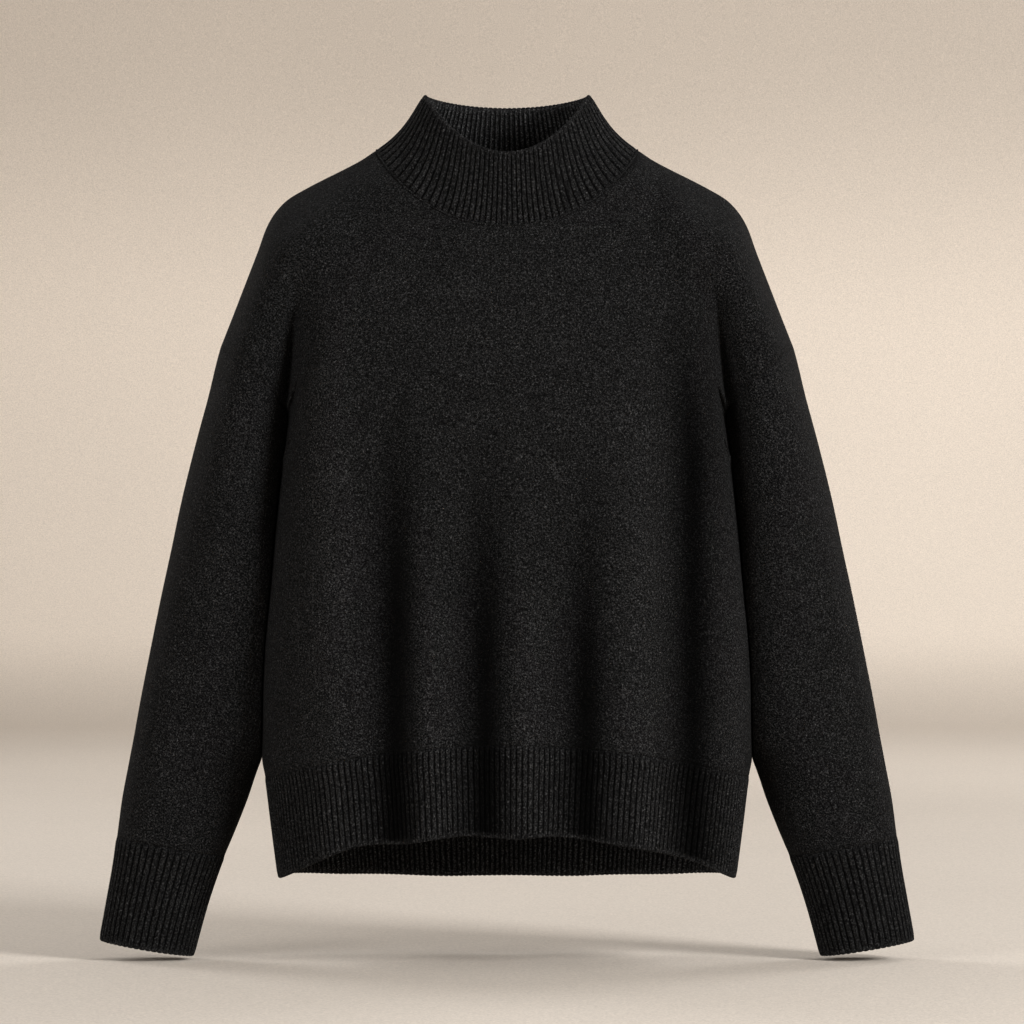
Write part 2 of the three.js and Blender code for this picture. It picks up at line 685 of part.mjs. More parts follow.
function collarWall() {
  const place = (turn, rise, relief, inside) => {
    const point = collarPoint(turn, rise);
    const normal =
      rise === 0
        ? neckChord(neckNormal, turn)
        : outward(collarPoint, turn, Math.min(rise, 0.99), 0.5, 0.01, 1);
    return point.addScaledVector(normal, inside ? -COLLAR_WALL : relief);
  };
  return ribbedTube(place, COLLAR_RIBS, COLLAR_STRIPS, 4 * NECK_COLUMNS);
}

function weltPoint(side, column, row) {
  const share = Math.sin((column * Math.PI) / 2);
  const top = weltSeam(side, share) - SEAM_GAP;
  return torsoPoint(side, share, mix(top, weltEdge(side, share), row));
}

function weltWall(side) {
  const wall = new Wall();
  const surface = (column, row) => weltPoint(side, column, row);
  const place = (row, column, relief, inside) => {
    const point = surface(column, row);
    const normal =
      Math.abs(column) === 1
        ? new THREE.Vector3(column, 0, 0)
        : outward(surface, column, row, 0.002, 0.01, side.out);
    if (row === 0) inSeam(normal, 0);
    point.addScaledVector(normal, inside ? -RIB_WALL : relief);
    const seam = side.out * MIDDLE_GAP;
    point.y = side.out > 0 ? Math.max(point.y, seam) : Math.min(point.y, seam);
    return point;
  };
  const coarse = 2 * (NECK_COLUMNS + SHOULDER_COLUMNS);
  const fine = 2 * WELT_RIBS;
  const outer = wall.grid(WELT_STRIPS + 1, fine + 1, (row, column) =>
    place(row / WELT_STRIPS, (2 * column) / fine - 1, column % 2 === 0 ? 0 : RIB_RELIEF, false),
  );
  const inner = wall.grid(WELT_STRIPS + 1, coarse + 1, (row, column) =>
    place(row / WELT_STRIPS, (2 * column) / coarse - 1, 0, true),
  );
  wall.shell(outer, inner, true);
  return wall.geometry();
}

// The knit is one near-black yarn. The ribs look a little darker between their crests.
const plainKnit = () =>
  new THREE.MeshStandardMaterial({ color: 0x1c1b1b, roughness: 0.95, metalness: 0 });
const ribKnit = () =>
  new THREE.MeshStandardMaterial({ color: 0x161515, roughness: 0.95, metalness: 0 });

function named(name, geometry, material) {
  const mesh = new THREE.Mesh(geometry, material);
  mesh.name = name;
  return mesh;
}

const sweater = new THREE.Group();
sweater.name = 'turtleneck_sweater';
sweater.add(named('front', panelWall(FRONT), plainKnit()));
sweater.add(named('back', panelWall(BACK), plainKnit()));
sweater.add(named('hem_front', weltWall(FRONT), ribKnit()));
sweater.add(named('hem_back', weltWall(BACK), ribKnit()));
sweater.add(named('collar', collarWall(), ribKnit()));
for (const [name, hand] of [['left', 1], ['right', -1]]) {
  sweater.add(named(`sleeve_${name}`, sleeveWall(hand), plainKnit()));
  sweater.add(named(`cuff_${name}`, cuffWall(hand), ribKnit()));
}

export default sweater;
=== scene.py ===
"""A hip-length turtleneck sweater, hollow and filled out as if worn.

The form's measured values are in millimetres and the finished meshes are in metres. +Z is up,
the front faces -Y and the wearer's left is +X. Every piece is a knitted wall: an outer surface
worked out on a grid, the same grid one wall thickness further in, and an edge round both.
"""

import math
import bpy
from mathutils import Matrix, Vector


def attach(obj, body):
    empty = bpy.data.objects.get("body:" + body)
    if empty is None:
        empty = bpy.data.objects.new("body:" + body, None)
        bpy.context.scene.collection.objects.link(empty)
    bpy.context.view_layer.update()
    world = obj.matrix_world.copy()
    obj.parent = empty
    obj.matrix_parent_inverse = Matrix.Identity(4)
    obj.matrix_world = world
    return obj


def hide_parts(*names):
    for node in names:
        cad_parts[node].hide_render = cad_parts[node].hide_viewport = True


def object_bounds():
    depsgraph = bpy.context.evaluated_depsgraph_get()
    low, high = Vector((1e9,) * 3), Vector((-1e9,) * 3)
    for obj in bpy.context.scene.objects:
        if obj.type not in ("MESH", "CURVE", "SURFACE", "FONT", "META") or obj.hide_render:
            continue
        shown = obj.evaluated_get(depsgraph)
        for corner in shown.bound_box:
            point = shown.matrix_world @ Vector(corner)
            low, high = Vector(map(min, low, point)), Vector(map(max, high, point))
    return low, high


bl_info = {
    "name": "Turtleneck sweater",
    "version": (1, 0, 0),
    "blender": (4, 5, 0),
    "location": "3D View > Sidebar > Sweater",
    "description": "Builds the knitted pieces of a turtleneck sweater on its packed solids",
    "category": "Add Mesh",
}

import bpy
import numpy as np
from mathutils import Vector

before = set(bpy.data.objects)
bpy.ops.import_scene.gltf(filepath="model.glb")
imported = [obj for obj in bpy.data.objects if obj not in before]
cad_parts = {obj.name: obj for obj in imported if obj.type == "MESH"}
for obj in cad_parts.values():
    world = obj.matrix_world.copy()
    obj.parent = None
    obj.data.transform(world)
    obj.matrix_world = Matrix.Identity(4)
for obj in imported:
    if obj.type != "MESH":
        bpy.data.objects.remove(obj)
CAD_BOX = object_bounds()
MM = 0.001


class Table:
    """Measured rows with named columns. Between rows a value follows a cubic curve whose
    slope at a row is the harmonic mean of the slopes beside it, so it never swings past one."""

    def __init__(self, names, rows):
        values = np.array(rows, float).T
        self.columns = dict(zip(names.split(), values))
        self.key = values[0]

    def read(self, name, at):
        x = self.key
        y = self.columns[name]
        slopes = np.diff(y) / np.diff(x)
        before = slopes[:-1]
        after = slopes[1:]
        total = np.where(before + after == 0, 1, before + after)
        inner = np.where(before * after > 0, 2 * before * after / total, 0)
        tangents = np.concatenate([slopes[:1], inner, slopes[-1:]])
        at = np.clip(at, x[0], x[-1])
        i = np.clip(np.searchsorted(x, at) - 1, 0, len(x) - 2)
        span = x[i + 1] - x[i]
        t = (at - x[i]) / span
        u = 1 - t
        ends = y[i] * (1 + 2 * t) * u * u + y[i + 1] * t * t * (3 - 2 * t)
        return ends + span * t * u * (tangents[i] * u - tangents[i + 1] * t)


# Body seen from the front and from the side: half width, depth of the front and the back
# from the side seam, and exponent of the rounded ring, at each height
BODY = Table("z half front back square", [
    (-608, 188.5, 121, 118, 2.7),
    (-554, 195.5, 126, 122, 2.7),
    (-521, 199.6, 130, 125, 2.7),
    (-500, 203, 133, 127, 2.7),
    (-455, 203, 133, 127, 2.8),
    (-413, 201.5, 132, 126, 2.9),
    (-372, 197.5, 131, 125, 3.1),
    (-330, 193, 130, 123, 3.3),
    (-289, 188.5, 128, 121, 3.5),
    (-247, 184, 126, 119, 3.6),
    (-206, 181, 122, 117, 3.5),
    (-164, 179.5, 115, 114, 3.3),
    (-120, 186, 107, 109, 3),
    (-81, 208, 98, 102, 2.6),
    (-40, 240, 90, 92, 2.5),
    (20, 300, 80, 82, 2.5),
])
CHEST_ROUND = 8

# Line over the shoulder and down to the armhole seam, seen from the front
SHOULDER = Table("x z", [
    (0, 26),
    (50, 20),
    (80, 11),
    (107.5, 1.7),
    (120.4, -6.6),
    (136, -14.9),
    (152.7, -23.2),
    (168.5, -31.5),
    (182.2, -39.8),
    (190.5, -48.1),
    (196.3, -56.4),
    (200.4, -64.7),
    (206.3, -81.3),
    (215.8, -106),
    (228.7, -139.4),
    (237.6, -162),
])
SHOULDER_STATIONS = Table("share x", [
    (0, 107.5),
    (0.2, 146),
    (0.39, 182.2),
    (0.57, 203),
    (0.8, 222),
    (1, 237.6),
])
SHOULDER_FALL = 9.3
SHOULDER_LESS = 0.3
SHOULDER_WITHIN = 15

# Arm seen from the front: the side next to the body, the outer side and the half depth
ARM = Table("z inner outer depth", [
    (-668, 260.4, 340.2, 30),
    (-651, 256, 337.4, 31),
    (-621, 247.5, 332, 34),
    (-588, 236, 326.2, 39),
    (-563, 225.5, 322.9, 43),
    (-538, 215.6, 319.6, 47),
    (-507, 204.5, 313.8, 53),
    (-485, 191, 309.6, 56),
    (-455, 186.5, 304.2, 60),
    (-413, 184.5, 295.9, 64),
    (-372, 183.5, 287.6, 68),
    (-330, 183, 278.5, 72),
    (-289, 181, 269.8, 75),
    (-247, 178, 259.4, 76),
    (-206, 175, 248.6, 76),
    (-162, 168, 237.6, 75),
    (-122.8, 156, 222.4, 75),
    (-81.3, 138, 206.3, 74),
    (-39.8, 110, 182.2, 72),
    (1.7, 40, 107.5, 70),
])
CREASE_TOP = -68
CREASE_FULL = -135
CREASE_SOFT = 24
CREASE_ROUND = 6
CREASE_FADES = 75
ARM_FULLNESS = 1.2
ARM_REACH_NONE = 80
ARM_REACH_FULL = 150
ARM_LEAVES = -234
ARM_JOINS = -203
SLEEVE_CLEAR = 0.8
SLEEVE_LIES = 1.5
SLEEVE_FLAT = 0.78
FLAT_TOP = -300
FLAT_FOOT = -545
FLAT_FADES = 60

# Seam of the sleeve into the armhole; turn goes round the arm from the shoulder point over
# the front to the underarm, in degrees
ARMHOLE = Table("turn x y z", [
    (0, 237.6, 0, -162),
    (18, 235.2, -24, -163.6),
    (36, 229.5, -48, -168.4),
    (54, 221.5, -65, -175),
    (72, 212.5, -73, -182.4),
    (90, 203, -74, -190.2),
    (108, 194.5, -68, -197.5),
    (126, 188, -56, -206),
    (135, 183.4, -42, -212),
    (144, 180.6, -36, -220),
    (162, 183.4, -24, -244),
    (180, 186.3, 0, -268),
])
UNDERARM_Z = -268
SLEEVE_SETTLE = 75

# Neck and collar
NECK_HALF = 108
NECK_DROP = {"front": 65.5, "back": 25}
NECK_SQUARENESS = 2.2
NECK_HOLLOW = 0.8
RIM_HALF = 69
RIM_PEAK = 45.7
RIM_MIDDLE = {"front": (-72, -5.5), "back": (54, 38.8)}
RIM_SIDE_Y = -8
RIM_DIP = 1.8

# Welts and cuffs: seam and edge at the side, and what the middle rises or drops
WELT_SEAM = {"side": -517, "front": 30, "back": -2}
WELT_EDGE = {"side": -600, "front": 39.5, "back": -7}
WELT_EDGE_SQUARENESS = 2.4
CUFF_SEAM_Z = -575.6
CUFF_SEAM_RISE = 7.9
CUFF_EDGE_Z = -659.2
CUFF_EDGE_RISE = 6.6

# Soft upright folds of the panels: place at the top and at the foot, where they start, how
# far they take to form, half width and depth (a negative depth is a ridge)
FOLDS = {
    "front": [
        (-144, -144, -90, 160, 20, -3),
        (-98, -98, -150, 240, 26, 15),
        (-64, -66, -230, 260, 20, -4),
        (-24, -26, -190, 240, 26, 13),
        (14, 14, -260, 240, 20, -4),
        (58, 55, -220, 240, 26, 14),
        (97, 111, -140, 240, 20, -5),
        (129, 142, -70, 200, 28, 19),
        (170, 190, -100, 200, 13, -3),
    ],
    "back": [
        (-140, -146, -150, 300, 26, 12),
        (-96, -100, -220, 260, 24, -4),
        (-48, -54, -230, 280, 32, 10),
        (2, 4, -260, 240, 26, -4),
        (52, 58, -200, 300, 30, 9),
        (138, 140, -170, 300, 28, 11),
    ],
}
FOLD_STEEP = 0.65
# Painted shade and highlight of the folds, as factors on the cloth's colour: the darkest on the steep
# side of a trough and the lightest on a ridge
FOLD_PAINTED_SHADE = 0.12
FOLD_PAINTED_HIGHLIGHT = 1.35
# Sleeve folds: turn at the top and at the foot, start, how far they take to form, half width
# in degrees, depth, where they end and how far they take to fade
SLEEVE_FOLDS = [
    (62, 84, -230, 160, 30, 4.5, -560, 70),
    (118, 128, -300, 140, 26, 5, -570, 60),
    (250, 268, -240, 160, 30, 5, -560, 60),
]

# Slow uneven swell of the cloth between the folds
SWELL_SIZE = 95
SWELL_SEED = {"front": 11, "back": 23}

# Small lifts and dips of the front welt's edge: place, half width and lift
EDGE_WAVES = [
    (-128, 34, 5),
    (-84, 16, -1.6),
    (-36, 16, 1.2),
    (6, 16, -1.4),
    (40, 16, 1),
    (92, 16, -0.8),
    (160, 24, 1.2),
]

# Ribs: length of one rib round the cloth, how far below the crest the plain cloth lies, how
# soon they reach their height, how they soften at the edge, and how strong they are behind
RIB_PITCH = 4.5
RIB_LEVEL = 0.6
RIB_START = 3
RIB_SOFTENS = 5
RIB_AT_EDGE = 0.45
RIB_BEHIND = 0.8
EDGE_ARC = 5
# Over EDGE_LIT from the free edge the outer side of a band fades into the edge's painted highlight
EDGE_LIT = 1.5
# Painted shade in the rib grooves and painted highlight on the rib crests, as factors on the rib
# colour
GROOVE_PAINTED_SHADE = 0.04
CREST_PAINTED_HIGHLIGHT = 1.7
# Painted highlight on the rolled free edge
EDGE_PAINTED_HIGHLIGHT = 1.6
# Painted light over the whole inner side of the bands
INSIDE_PAINTED_LIGHT = 3.8

# How far the ribs draw together in the middle of the front and of the back
RIB_DRAW = {"seam": (0.34, 0.2), "rim": (0.18, 0.06)}

# Chain of stitches at the foot of the collar
CHAIN_STITCHES = 160
CHAIN_SIDES = 8
CHAIN_LIFT = 0.3
CHAIN_HALF = 1
CHAIN_THICK = 0.7
CHAIN_THIN = 0.6
CHAIN_TONE = 1.15

# Grid counts
PANEL_COLUMNS = 217
PANEL_ROWS = 216
SLEEVE_COLUMNS = 168
SLEEVE_ROWS = 140
RIB_POINTS = 8
WELT_ROWS = 20
CUFF_ROWS = 20
COLLAR_ROWS = 28

# Camera and floor, in metres
LOOK_AT = (0.00415, 0, -0.2988)
CAMERA_AWAY = 4.5
VIEW_WIDTH = 0.85
FLOOR_FLAT = 4.9
FLOOR_COVE = 1.3
WALL_TOP = 3.2
WALL_LIGHT = (0.6, 1.4, 2.4)
WALL_SPOT = (0.9, 5.8, -0.45)
WALL_SPREAD = math.radians(75)

# Panel grid
UNDERARM_ROW = 0.62
ROW_SPACING = 1.6
NECK_SHARE = 0.5
EDGE_HOLD = 200
FAN_OUT = 85
FAN_DOWN = 50
EVEN_OUT = 700
EVEN_HALF = 0.12


def ease(share):
    """Smooth step: three t squared less two t cubed, held at 0 and 1."""
    t = np.clip(share, 0, 1)
    return t * t * (3 - 2 * t)


def mix(start, end, share):
    """Straight blend from start to end."""
    return start + (end - start) * share


def soft_max(a, b, reach):
    """The larger of two values, rounded where they meet: half of a + b + hypot(a - b, reach)."""
    return (a + b + np.hypot(a - b, reach)) / 2


def soft_min(a, b, reach):
    """The smaller of two values, rounded where they meet."""
    return (a + b - np.hypot(a - b, reach)) / 2


def points(x, y, z):
    """Three arrays of one grid as an array of points."""
    x, y, z = np.broadcast_arrays(x, y, z)
    return np.stack([x, y, z], axis=-1).astype(float)


def unit(vectors):
    """Each vector divided by its length."""
    return vectors / np.maximum(np.linalg.norm(vectors, axis=-1, keepdims=True), 1e-12)


def waves(x, z, seed, size):
    """Uneven slow swell of the cloth between -1 and 1: a sum of eight sine waves whose
    directions, lengths (about size) and starts are drawn from the seed."""
    draw = np.random.default_rng(seed)
    total = 0
    for _ in range(8):
        angle, start, length = draw.uniform(0, 6.28), draw.uniform(0, 6.28), draw.uniform(0.6, 1.6)
        along = x * math.cos(angle) + 0.6 * z * math.sin(angle)
        total = total + np.sin(6.28 * along / (size * length) + start)
    return total / 8


class Side:
    """The front or the back half of the body."""

    def __init__(self, name, out):
        self.name = name
        self.out = out
        self.folds = FOLDS[name]
        self.fold_strength = 1
        self.swell = 0

    def fold_depth(self, x, z):
        """Sum over the folds of depth x smooth start x a bell curve across the fold, which is
        steeper on the +X side of a trough and on the -X side of a ridge."""
        depth = 0
        for top, foot, start, forms, half, deep in self.folds:
            fall = ease((start - z) / forms)
            off = x - mix(top, foot, fall)
            wide = np.where(off * deep > 0, half * FOLD_STEEP, half)
            depth = depth + deep * fall * np.exp(-((off / wide) ** 2))
        return depth * self.fold_strength + self.swell * waves(x, z, SWELL_SEED[self.name], SWELL_SIZE)

    def depth(self, x, z):
        """Depth from the side seam. The chest is a rounded ring of the body's width and depth
        at that height, kept under a root curve that falls from the shoulder line. The upper
        arm is half an ellipse. The two meet softly, and the folds are taken off."""
        across = np.abs(x)
        share = np.clip(across / BODY.read("half", z), 0, 1)
        square = BODY.read("square", z)
        ring = (1 - share ** square) ** (1 / square)
        chest = BODY.read(self.name, z) * ring
        drop = np.maximum(SHOULDER.read("z", across) - z, 0)
        near = 1 - SHOULDER_LESS * np.exp(-drop / SHOULDER_WITHIN)
        shoulder = SHOULDER_FALL * np.sqrt(drop) * near
        body = soft_min(chest, shoulder, CHEST_ROUND)
        inner = ARM.read("inner", z)
        outer = ARM.read("outer", z)
        middle = (inner + outer) / 2
        crease = ease((CREASE_TOP - z) / (CREASE_TOP - CREASE_FULL))
        aside = (across - middle) / (outer - middle)
        turn = np.clip(np.where(aside > 0, aside, -aside * crease), 0, 1)
        around = ARM.read("depth", z) * np.sqrt(1 - turn * turn)
        beside = ease((across - ARM_REACH_NONE) / (ARM_REACH_FULL - ARM_REACH_NONE))
        above = ease((z - ARM_LEAVES) / (ARM_JOINS - ARM_LEAVES))
        arm = beside * above * soft_min(around, ARM_FULLNESS * shoulder, CHEST_ROUND)
        round_off = mix(CREASE_SOFT, CREASE_ROUND, crease)
        meet = round_off * ease(np.minimum(body, arm) / CREASE_FADES)
        full = np.maximum(soft_max(body, arm, meet), 0)
        return full - self.fold_depth(x, z) * ring

    def fold_painted_shading(self, x, z):
        """Painted shade and highlight of the folds, as a factor on the cloth's colour: darkest on the
        steep side of a trough and lightest on a ridge, both fading into 1 beside the fold."""
        tone = 1
        for top, foot, start, forms, half, deep in self.folds:
            fall = ease((start - z) / forms)
            off = (x - mix(top, foot, fall)) / half
            if deep > 0:
                near = np.exp(-((off / FOLD_STEEP - 0.5) ** 2))
                tone = tone * mix(1, FOLD_PAINTED_SHADE, fall * near)
            else:
                tone = tone * mix(1, FOLD_PAINTED_HIGHLIGHT, fall * np.exp(-(off ** 2)))
        return tone

    def neck_point(self, angle):
        """Collar seam: x follows the sine of the angle, z hangs from the shoulder in a
        rounded hollow, and y lies on the body."""
        across = np.minimum(np.abs(np.sin(angle)), 1)
        hollow = (1 - across ** NECK_SQUARENESS) ** NECK_HOLLOW
        x = NECK_HALF * np.sin(angle)
        z = mix(SHOULDER.read("z", NECK_HALF), -NECK_DROP[self.name], hollow)
        return points(x, self.out * self.depth(x, z), z)

    def welt_seam(self, share):
        """Height of the seam above the welt: a parabola over the width."""
        return WELT_SEAM["side"] + WELT_SEAM[self.name] * (1 - share * share)

    def welt_edge(self, share):
        """Height of the welt's lower edge: a flatter arch over the width."""
        arch = 1 - np.abs(share) ** WELT_EDGE_SQUARENESS
        height = WELT_EDGE["side"] + WELT_EDGE[self.name] * arch
        if self.name == "back":
            return height
        x = share * BODY.read("half", WELT_EDGE["side"])
        lift = sum(up * np.exp(-(((x - place) / half) ** 2)) for place, half, up in EDGE_WAVES)
        return height + lift * (1 - share ** 4)

    def torso_point(self, share, z):
        """A place of the body below the underarm by its share of the half width."""
        x = share * BODY.read("half", z)
        return points(x, self.out * self.depth(x, z), z)

    def panel_top(self, column):
        """Neck seam up to NECK_SHARE of the columns, then the shoulder line."""
        way = np.abs(column)
        neck = self.neck_point(np.minimum(way / NECK_SHARE, 1) * math.pi / 2)
        x = SHOULDER_STATIONS.read("x", (way - NECK_SHARE) / (1 - NECK_SHARE))
        shoulder = points(x, 0, SHOULDER.read("z", x))
        return np.where((way <= NECK_SHARE)[..., None], neck, shoulder)

    def panel_point(self, column, row):
        """The four edges of the panel blended across the front view (foot to top by row, the
        side's own bulge by the square of the spread, and a fan below the neck), with the
        body's depth as the third direction and the armhole's own depth held at the edge."""
        way = np.abs(column)
        spread = np.sin(way * math.pi / 2)
        top = self.panel_top(column)
        edge = panel_edge(row)
        corner = points(ARMHOLE.read("x", 0), 0, ARMHOLE.read("z", 0))
        foot = self.torso_point(spread, self.welt_seam(spread))
        foot_half = BODY.read("half", WELT_SEAM["side"])
        pull = spread ** 2 * (edge[..., 0] - mix(foot_half, corner[..., 0], row))
        sharp = np.where(way > NECK_SHARE, 5, 2)
        fan = np.sin(way * math.pi) ** sharp * np.sqrt(1 - row) * row ** 3
        settle = edge[..., 2] - mix(WELT_SEAM["side"], corner[..., 2], row) - FAN_DOWN * fan
        z = mix(foot[..., 2], top[..., 2], row) + settle
        corner_way = way - NECK_SHARE
        even = corner_way * np.exp(-(corner_way / EVEN_HALF) ** 2) * row ** 2 * (1 - row)
        x = mix(foot[..., 0], np.abs(top[..., 0]), row) + pull + FAN_OUT * fan + EVEN_OUT * even
        x = np.sign(column) * x
        held = np.abs(edge[..., 1]) - self.depth(edge[..., 0], edge[..., 2])
        depth = self.depth(x, z) + spread ** EDGE_HOLD * held
        return points(x, self.out * np.maximum(depth, 0), z)


FRONT = Side("front", -1)
BACK = Side("back", 1)


def panel_edge(row):
    """Side seam up to UNDERARM_ROW, then round the armhole to the shoulder point."""
    z = mix(WELT_SEAM["side"], UNDERARM_Z, np.minimum(row / UNDERARM_ROW, 1))
    seam = points(BODY.read("half", z), 0, z)
    left = np.clip((1 - row) / (1 - UNDERARM_ROW), 0, 1)
    hole = armhole_point(180 * left ** (1 / ROW_SPACING))
    return np.where((row < UNDERARM_ROW)[..., None], seam, hole)


def armhole_point(turn):
    """The armhole table read round the front and mirrored round the back."""
    ahead = np.where(turn <= 180, turn, 360 - turn)
    sign = np.where(turn <= 180, 1, -1)
    return points(ARMHOLE.read("x", ahead), sign * ARMHOLE.read("y", ahead),
                  ARMHOLE.read("z", ahead))


def arm_point(turn, z):
    """An ellipse round the arm at a height, less the sleeve's folds. Beside the body its inner
    half is squarer, and where it would enter the body it lies against the body's side, just
    clear of it."""
    beside = ease((FLAT_TOP - z) / FLAT_FADES) * ease((z - FLAT_FOOT) / FLAT_FADES)
    cosine = np.cos(np.radians(turn))
    sine = np.sin(np.radians(turn))
    power = np.where(cosine < 0, mix(1, SLEEVE_FLAT, beside), 1)
    cosine = np.sign(cosine) * np.abs(cosine) ** power
    sine = np.sign(sine) * np.abs(sine) ** power
    inner = ARM.read("inner", z)
    outer = ARM.read("outer", z)
    sink = 0
    for top, foot, start, forms, half, deep, ends, fades in SLEEVE_FOLDS:
        fall = ease((start - z) / forms) * ease((z - ends) / fades)
        middle = mix(top, foot, (start - z) / (start - ends))
        sink = sink + deep * fall * np.exp(-(((turn - middle) / half) ** 2))
    x = (inner + outer) / 2 + ((outer - inner) / 2 - sink) * cosine
    y = -(ARM.read("depth", z) - sink) * sine
    return points(soft_max(x, body_side(y, z) + SLEEVE_CLEAR, SLEEVE_LIES), y, z)


def body_side(y, z):
    """Half width of the body at a place in its depth: its rounded ring solved for x."""
    deep = np.where(y < 0, BODY.read("front", z), BODY.read("back", z))
    share = np.clip(np.abs(y) / deep, 0, 1)
    square = BODY.read("square", z)
    return BODY.read("half", z) * (1 - share ** square) ** (1 / square)


def sleeve_point(turn, row):
    """The free form of the arm, with the armhole seam's departure from it held at the top
    and let go over SLEEVE_SETTLE."""
    seam = armhole_point(turn)
    foot = CUFF_SEAM_Z + CUFF_SEAM_RISE * np.cos(np.radians(turn))
    z = mix(seam[..., 2], foot, row)
    error = seam - arm_point(turn, seam[..., 2])
    hold = 1 - ease(row * (seam[..., 2] - foot) / SLEEVE_SETTLE)
    return arm_point(turn, z) + error * points(hold, hold, 0)


def cuff_point(turn, row):
    """The arm's ellipse from the cuff seam to its edge, both a little higher outside."""
    lift = np.cos(np.radians(turn))
    top = CUFF_SEAM_Z + CUFF_SEAM_RISE * lift
    return arm_point(turn, mix(top, CUFF_EDGE_Z + CUFF_EDGE_RISE * lift, row))


def rim_point(turn):
    """Upper edge of the collar, from the middle of the front round the neck."""
    angle = np.radians(turn)
    facing = np.abs(np.cos(angle))
    front = np.cos(angle) >= 0
    y = np.where(front, RIM_MIDDLE["front"][0], RIM_MIDDLE["back"][0])
    z = np.where(front, RIM_MIDDLE["front"][1], RIM_MIDDLE["back"][1])
    return points(RIM_HALF * np.sin(angle), mix(RIM_SIDE_Y, y, facing),
                  mix(RIM_PEAK, z, facing ** RIM_DIP))


def neck_seam(turn):
    """The front's and the back's collar seams joined into one ring."""
    angle = np.radians(turn)
    front = np.cos(angle) >= 0
    return np.where(front[..., None], FRONT.neck_point(angle), BACK.neck_point(math.pi - angle))


def collar_point(turn, rise, warp):
    """From the seam to the rim, leaning in at the foot and straighter towards the edge. The
    ribs are drawn together in the middle of the front and back: each end reads its ring at
    turn - warp x half the sine of twice the turn."""
    def drawn(share):
        return turn - np.degrees(share * np.sin(np.radians(2 * turn)) / 2)
    seam = neck_seam(drawn(warp[0]))
    rim = rim_point(drawn(warp[1]))
    lean = (1 - rise) * (1 - 0.8 * rise + 0.55 * rise * rise)
    return points(mix(rim[..., 0], seam[..., 0], lean), mix(rim[..., 1], seam[..., 1], lean),
                  mix(seam[..., 2], rim[..., 2], rise))


def grid_normals(grid, closed, sign):
    """Cross product of the differences along both directions of a grid. A closed grid's
    first and last columns are neighbours."""
    if closed:
        wide = np.concatenate([grid[:, -1:], grid, grid[:, :1]], axis=1)
        across = wide[:, 2:] - wide[:, :-2]
    else:
        across = np.gradient(grid, axis=1)
    return sign * unit(np.cross(across, np.gradient(grid, axis=0)))


def lengths(grid, axis):
    """Distance gone along one direction of a grid, from its first line."""
    steps = np.linalg.norm(np.diff(grid, axis=axis), axis=-1)
    start = np.zeros_like(np.take(steps, [0], axis=axis))
    return np.concatenate([start, np.cumsum(steps, axis=axis)], axis=axis)


def wrap_section(outer, inner, back_rows, arc):
    """One closed section of a rib band: up the outer side, round the edge and down the inner
    side. The edge is half a circle: its points lie from the middle of the edge at half the
    wall x (cosine along the wall's direction, sine away from the cloth)."""
    middle = (outer[-1] + inner[-1]) / 2
    half = (outer[-1] - inner[-1]) / 2
    away = unit(outer[-1] + inner[-1] - outer[-1 - back_rows] - inner[-1 - back_rows])
    size = np.linalg.norm(half, axis=-1, keepdims=True)
    turns = np.linspace(0, math.pi, arc + 2)[1:-1]
    edge = [middle + half * math.cos(t) + away * size * math.sin(t) for t in turns]
    return np.concatenate([outer, np.array(edge), inner[::-1]])


def cloth_mesh(name, grid, across, along, tone, closed):
    """A closed wall from rings of points: each column of the grid is one section, outer side
    up and inner side down, and its last row joins its first. closed joins the last column to
    the first; otherwise the two end sections are filled by strips between their outer and
    inner sides. across and along are millimetres of cloth for the UV map, with one more
    column than the grid where it is closed. Faces are turned outwards by the signed volume,
    a sixth of the sum of each triangle's triple product."""
    rows, columns = grid.shape[:2]
    index = np.arange(rows * columns).reshape(rows, columns)
    if closed:
        index = np.concatenate([index, index[:, :1]], axis=1)
    index = np.concatenate([index, index[:1]])
    flat = [np.concatenate([v, v[:1]]) * MM
            for v in (np.broadcast_to(w, (rows, index.shape[1])) for w in (across, along))]

    def corners(values):
        sheet = np.stack([values[:-1, :-1], values[:-1, 1:], values[1:, 1:], values[1:, :-1]],
                         axis=-1).reshape(-1, 4)
        if closed:
            return sheet
        up = np.arange(rows // 2 - 1)
        down = rows - 1 - up
        ends = []
        for column, order in ((0, (0, 1, 2, 3)), (columns - 1, (3, 2, 1, 0))):
            strip = np.stack([values[up, column], values[up + 1, column],
                              values[down - 1, column], values[down, column]], axis=-1)
            ends.append(strip[:, order])
        return np.concatenate([sheet, *ends])

    quads = corners(index)
    uv = np.stack([corners(v) for v in flat], axis=-1).reshape(-1, 2)
    places = grid.reshape(-1, 3) * MM
    a, b, c, d = (places[quads[:, k]] for k in range(4))
    volume = np.sum(a * (np.cross(b, c) + np.cross(c, d)))
    if volume < 0:
        quads = quads[:, ::-1]
        uv = uv.reshape(-1, 4, 2)[:, ::-1].reshape(-1, 2)

    mesh = bpy.data.meshes.new(name)
    mesh.vertices.add(len(places))
    mesh.vertices.foreach_set("co", places.ravel())
    mesh.loops.add(quads.size)
    mesh.loops.foreach_set("vertex_index", quads.ravel())
    mesh.polygons.add(len(quads))
    mesh.polygons.foreach_set("loop_start", np.arange(0, quads.size, 4))
    mesh.polygons.foreach_set("use_smooth", np.ones(len(quads), bool))
    mesh.uv_layers.new(name="cloth").data.foreach_set("uv", uv.ravel())
    shade = mesh.attributes.new("tone", "FLOAT", "POINT")
    shade.data.foreach_set("value", np.broadcast_to(tone, (rows, columns)).ravel())
    mesh.update()
    mesh.validate()
    piece = bpy.data.objects.new(name, mesh)
    bpy.context.scene.collection.objects.link(piece)
    return piece


def there_and_back(values):
    """Rows of the outer side followed by the same rows from the last to the first."""
    return np.concatenate([values, values[::-1]])


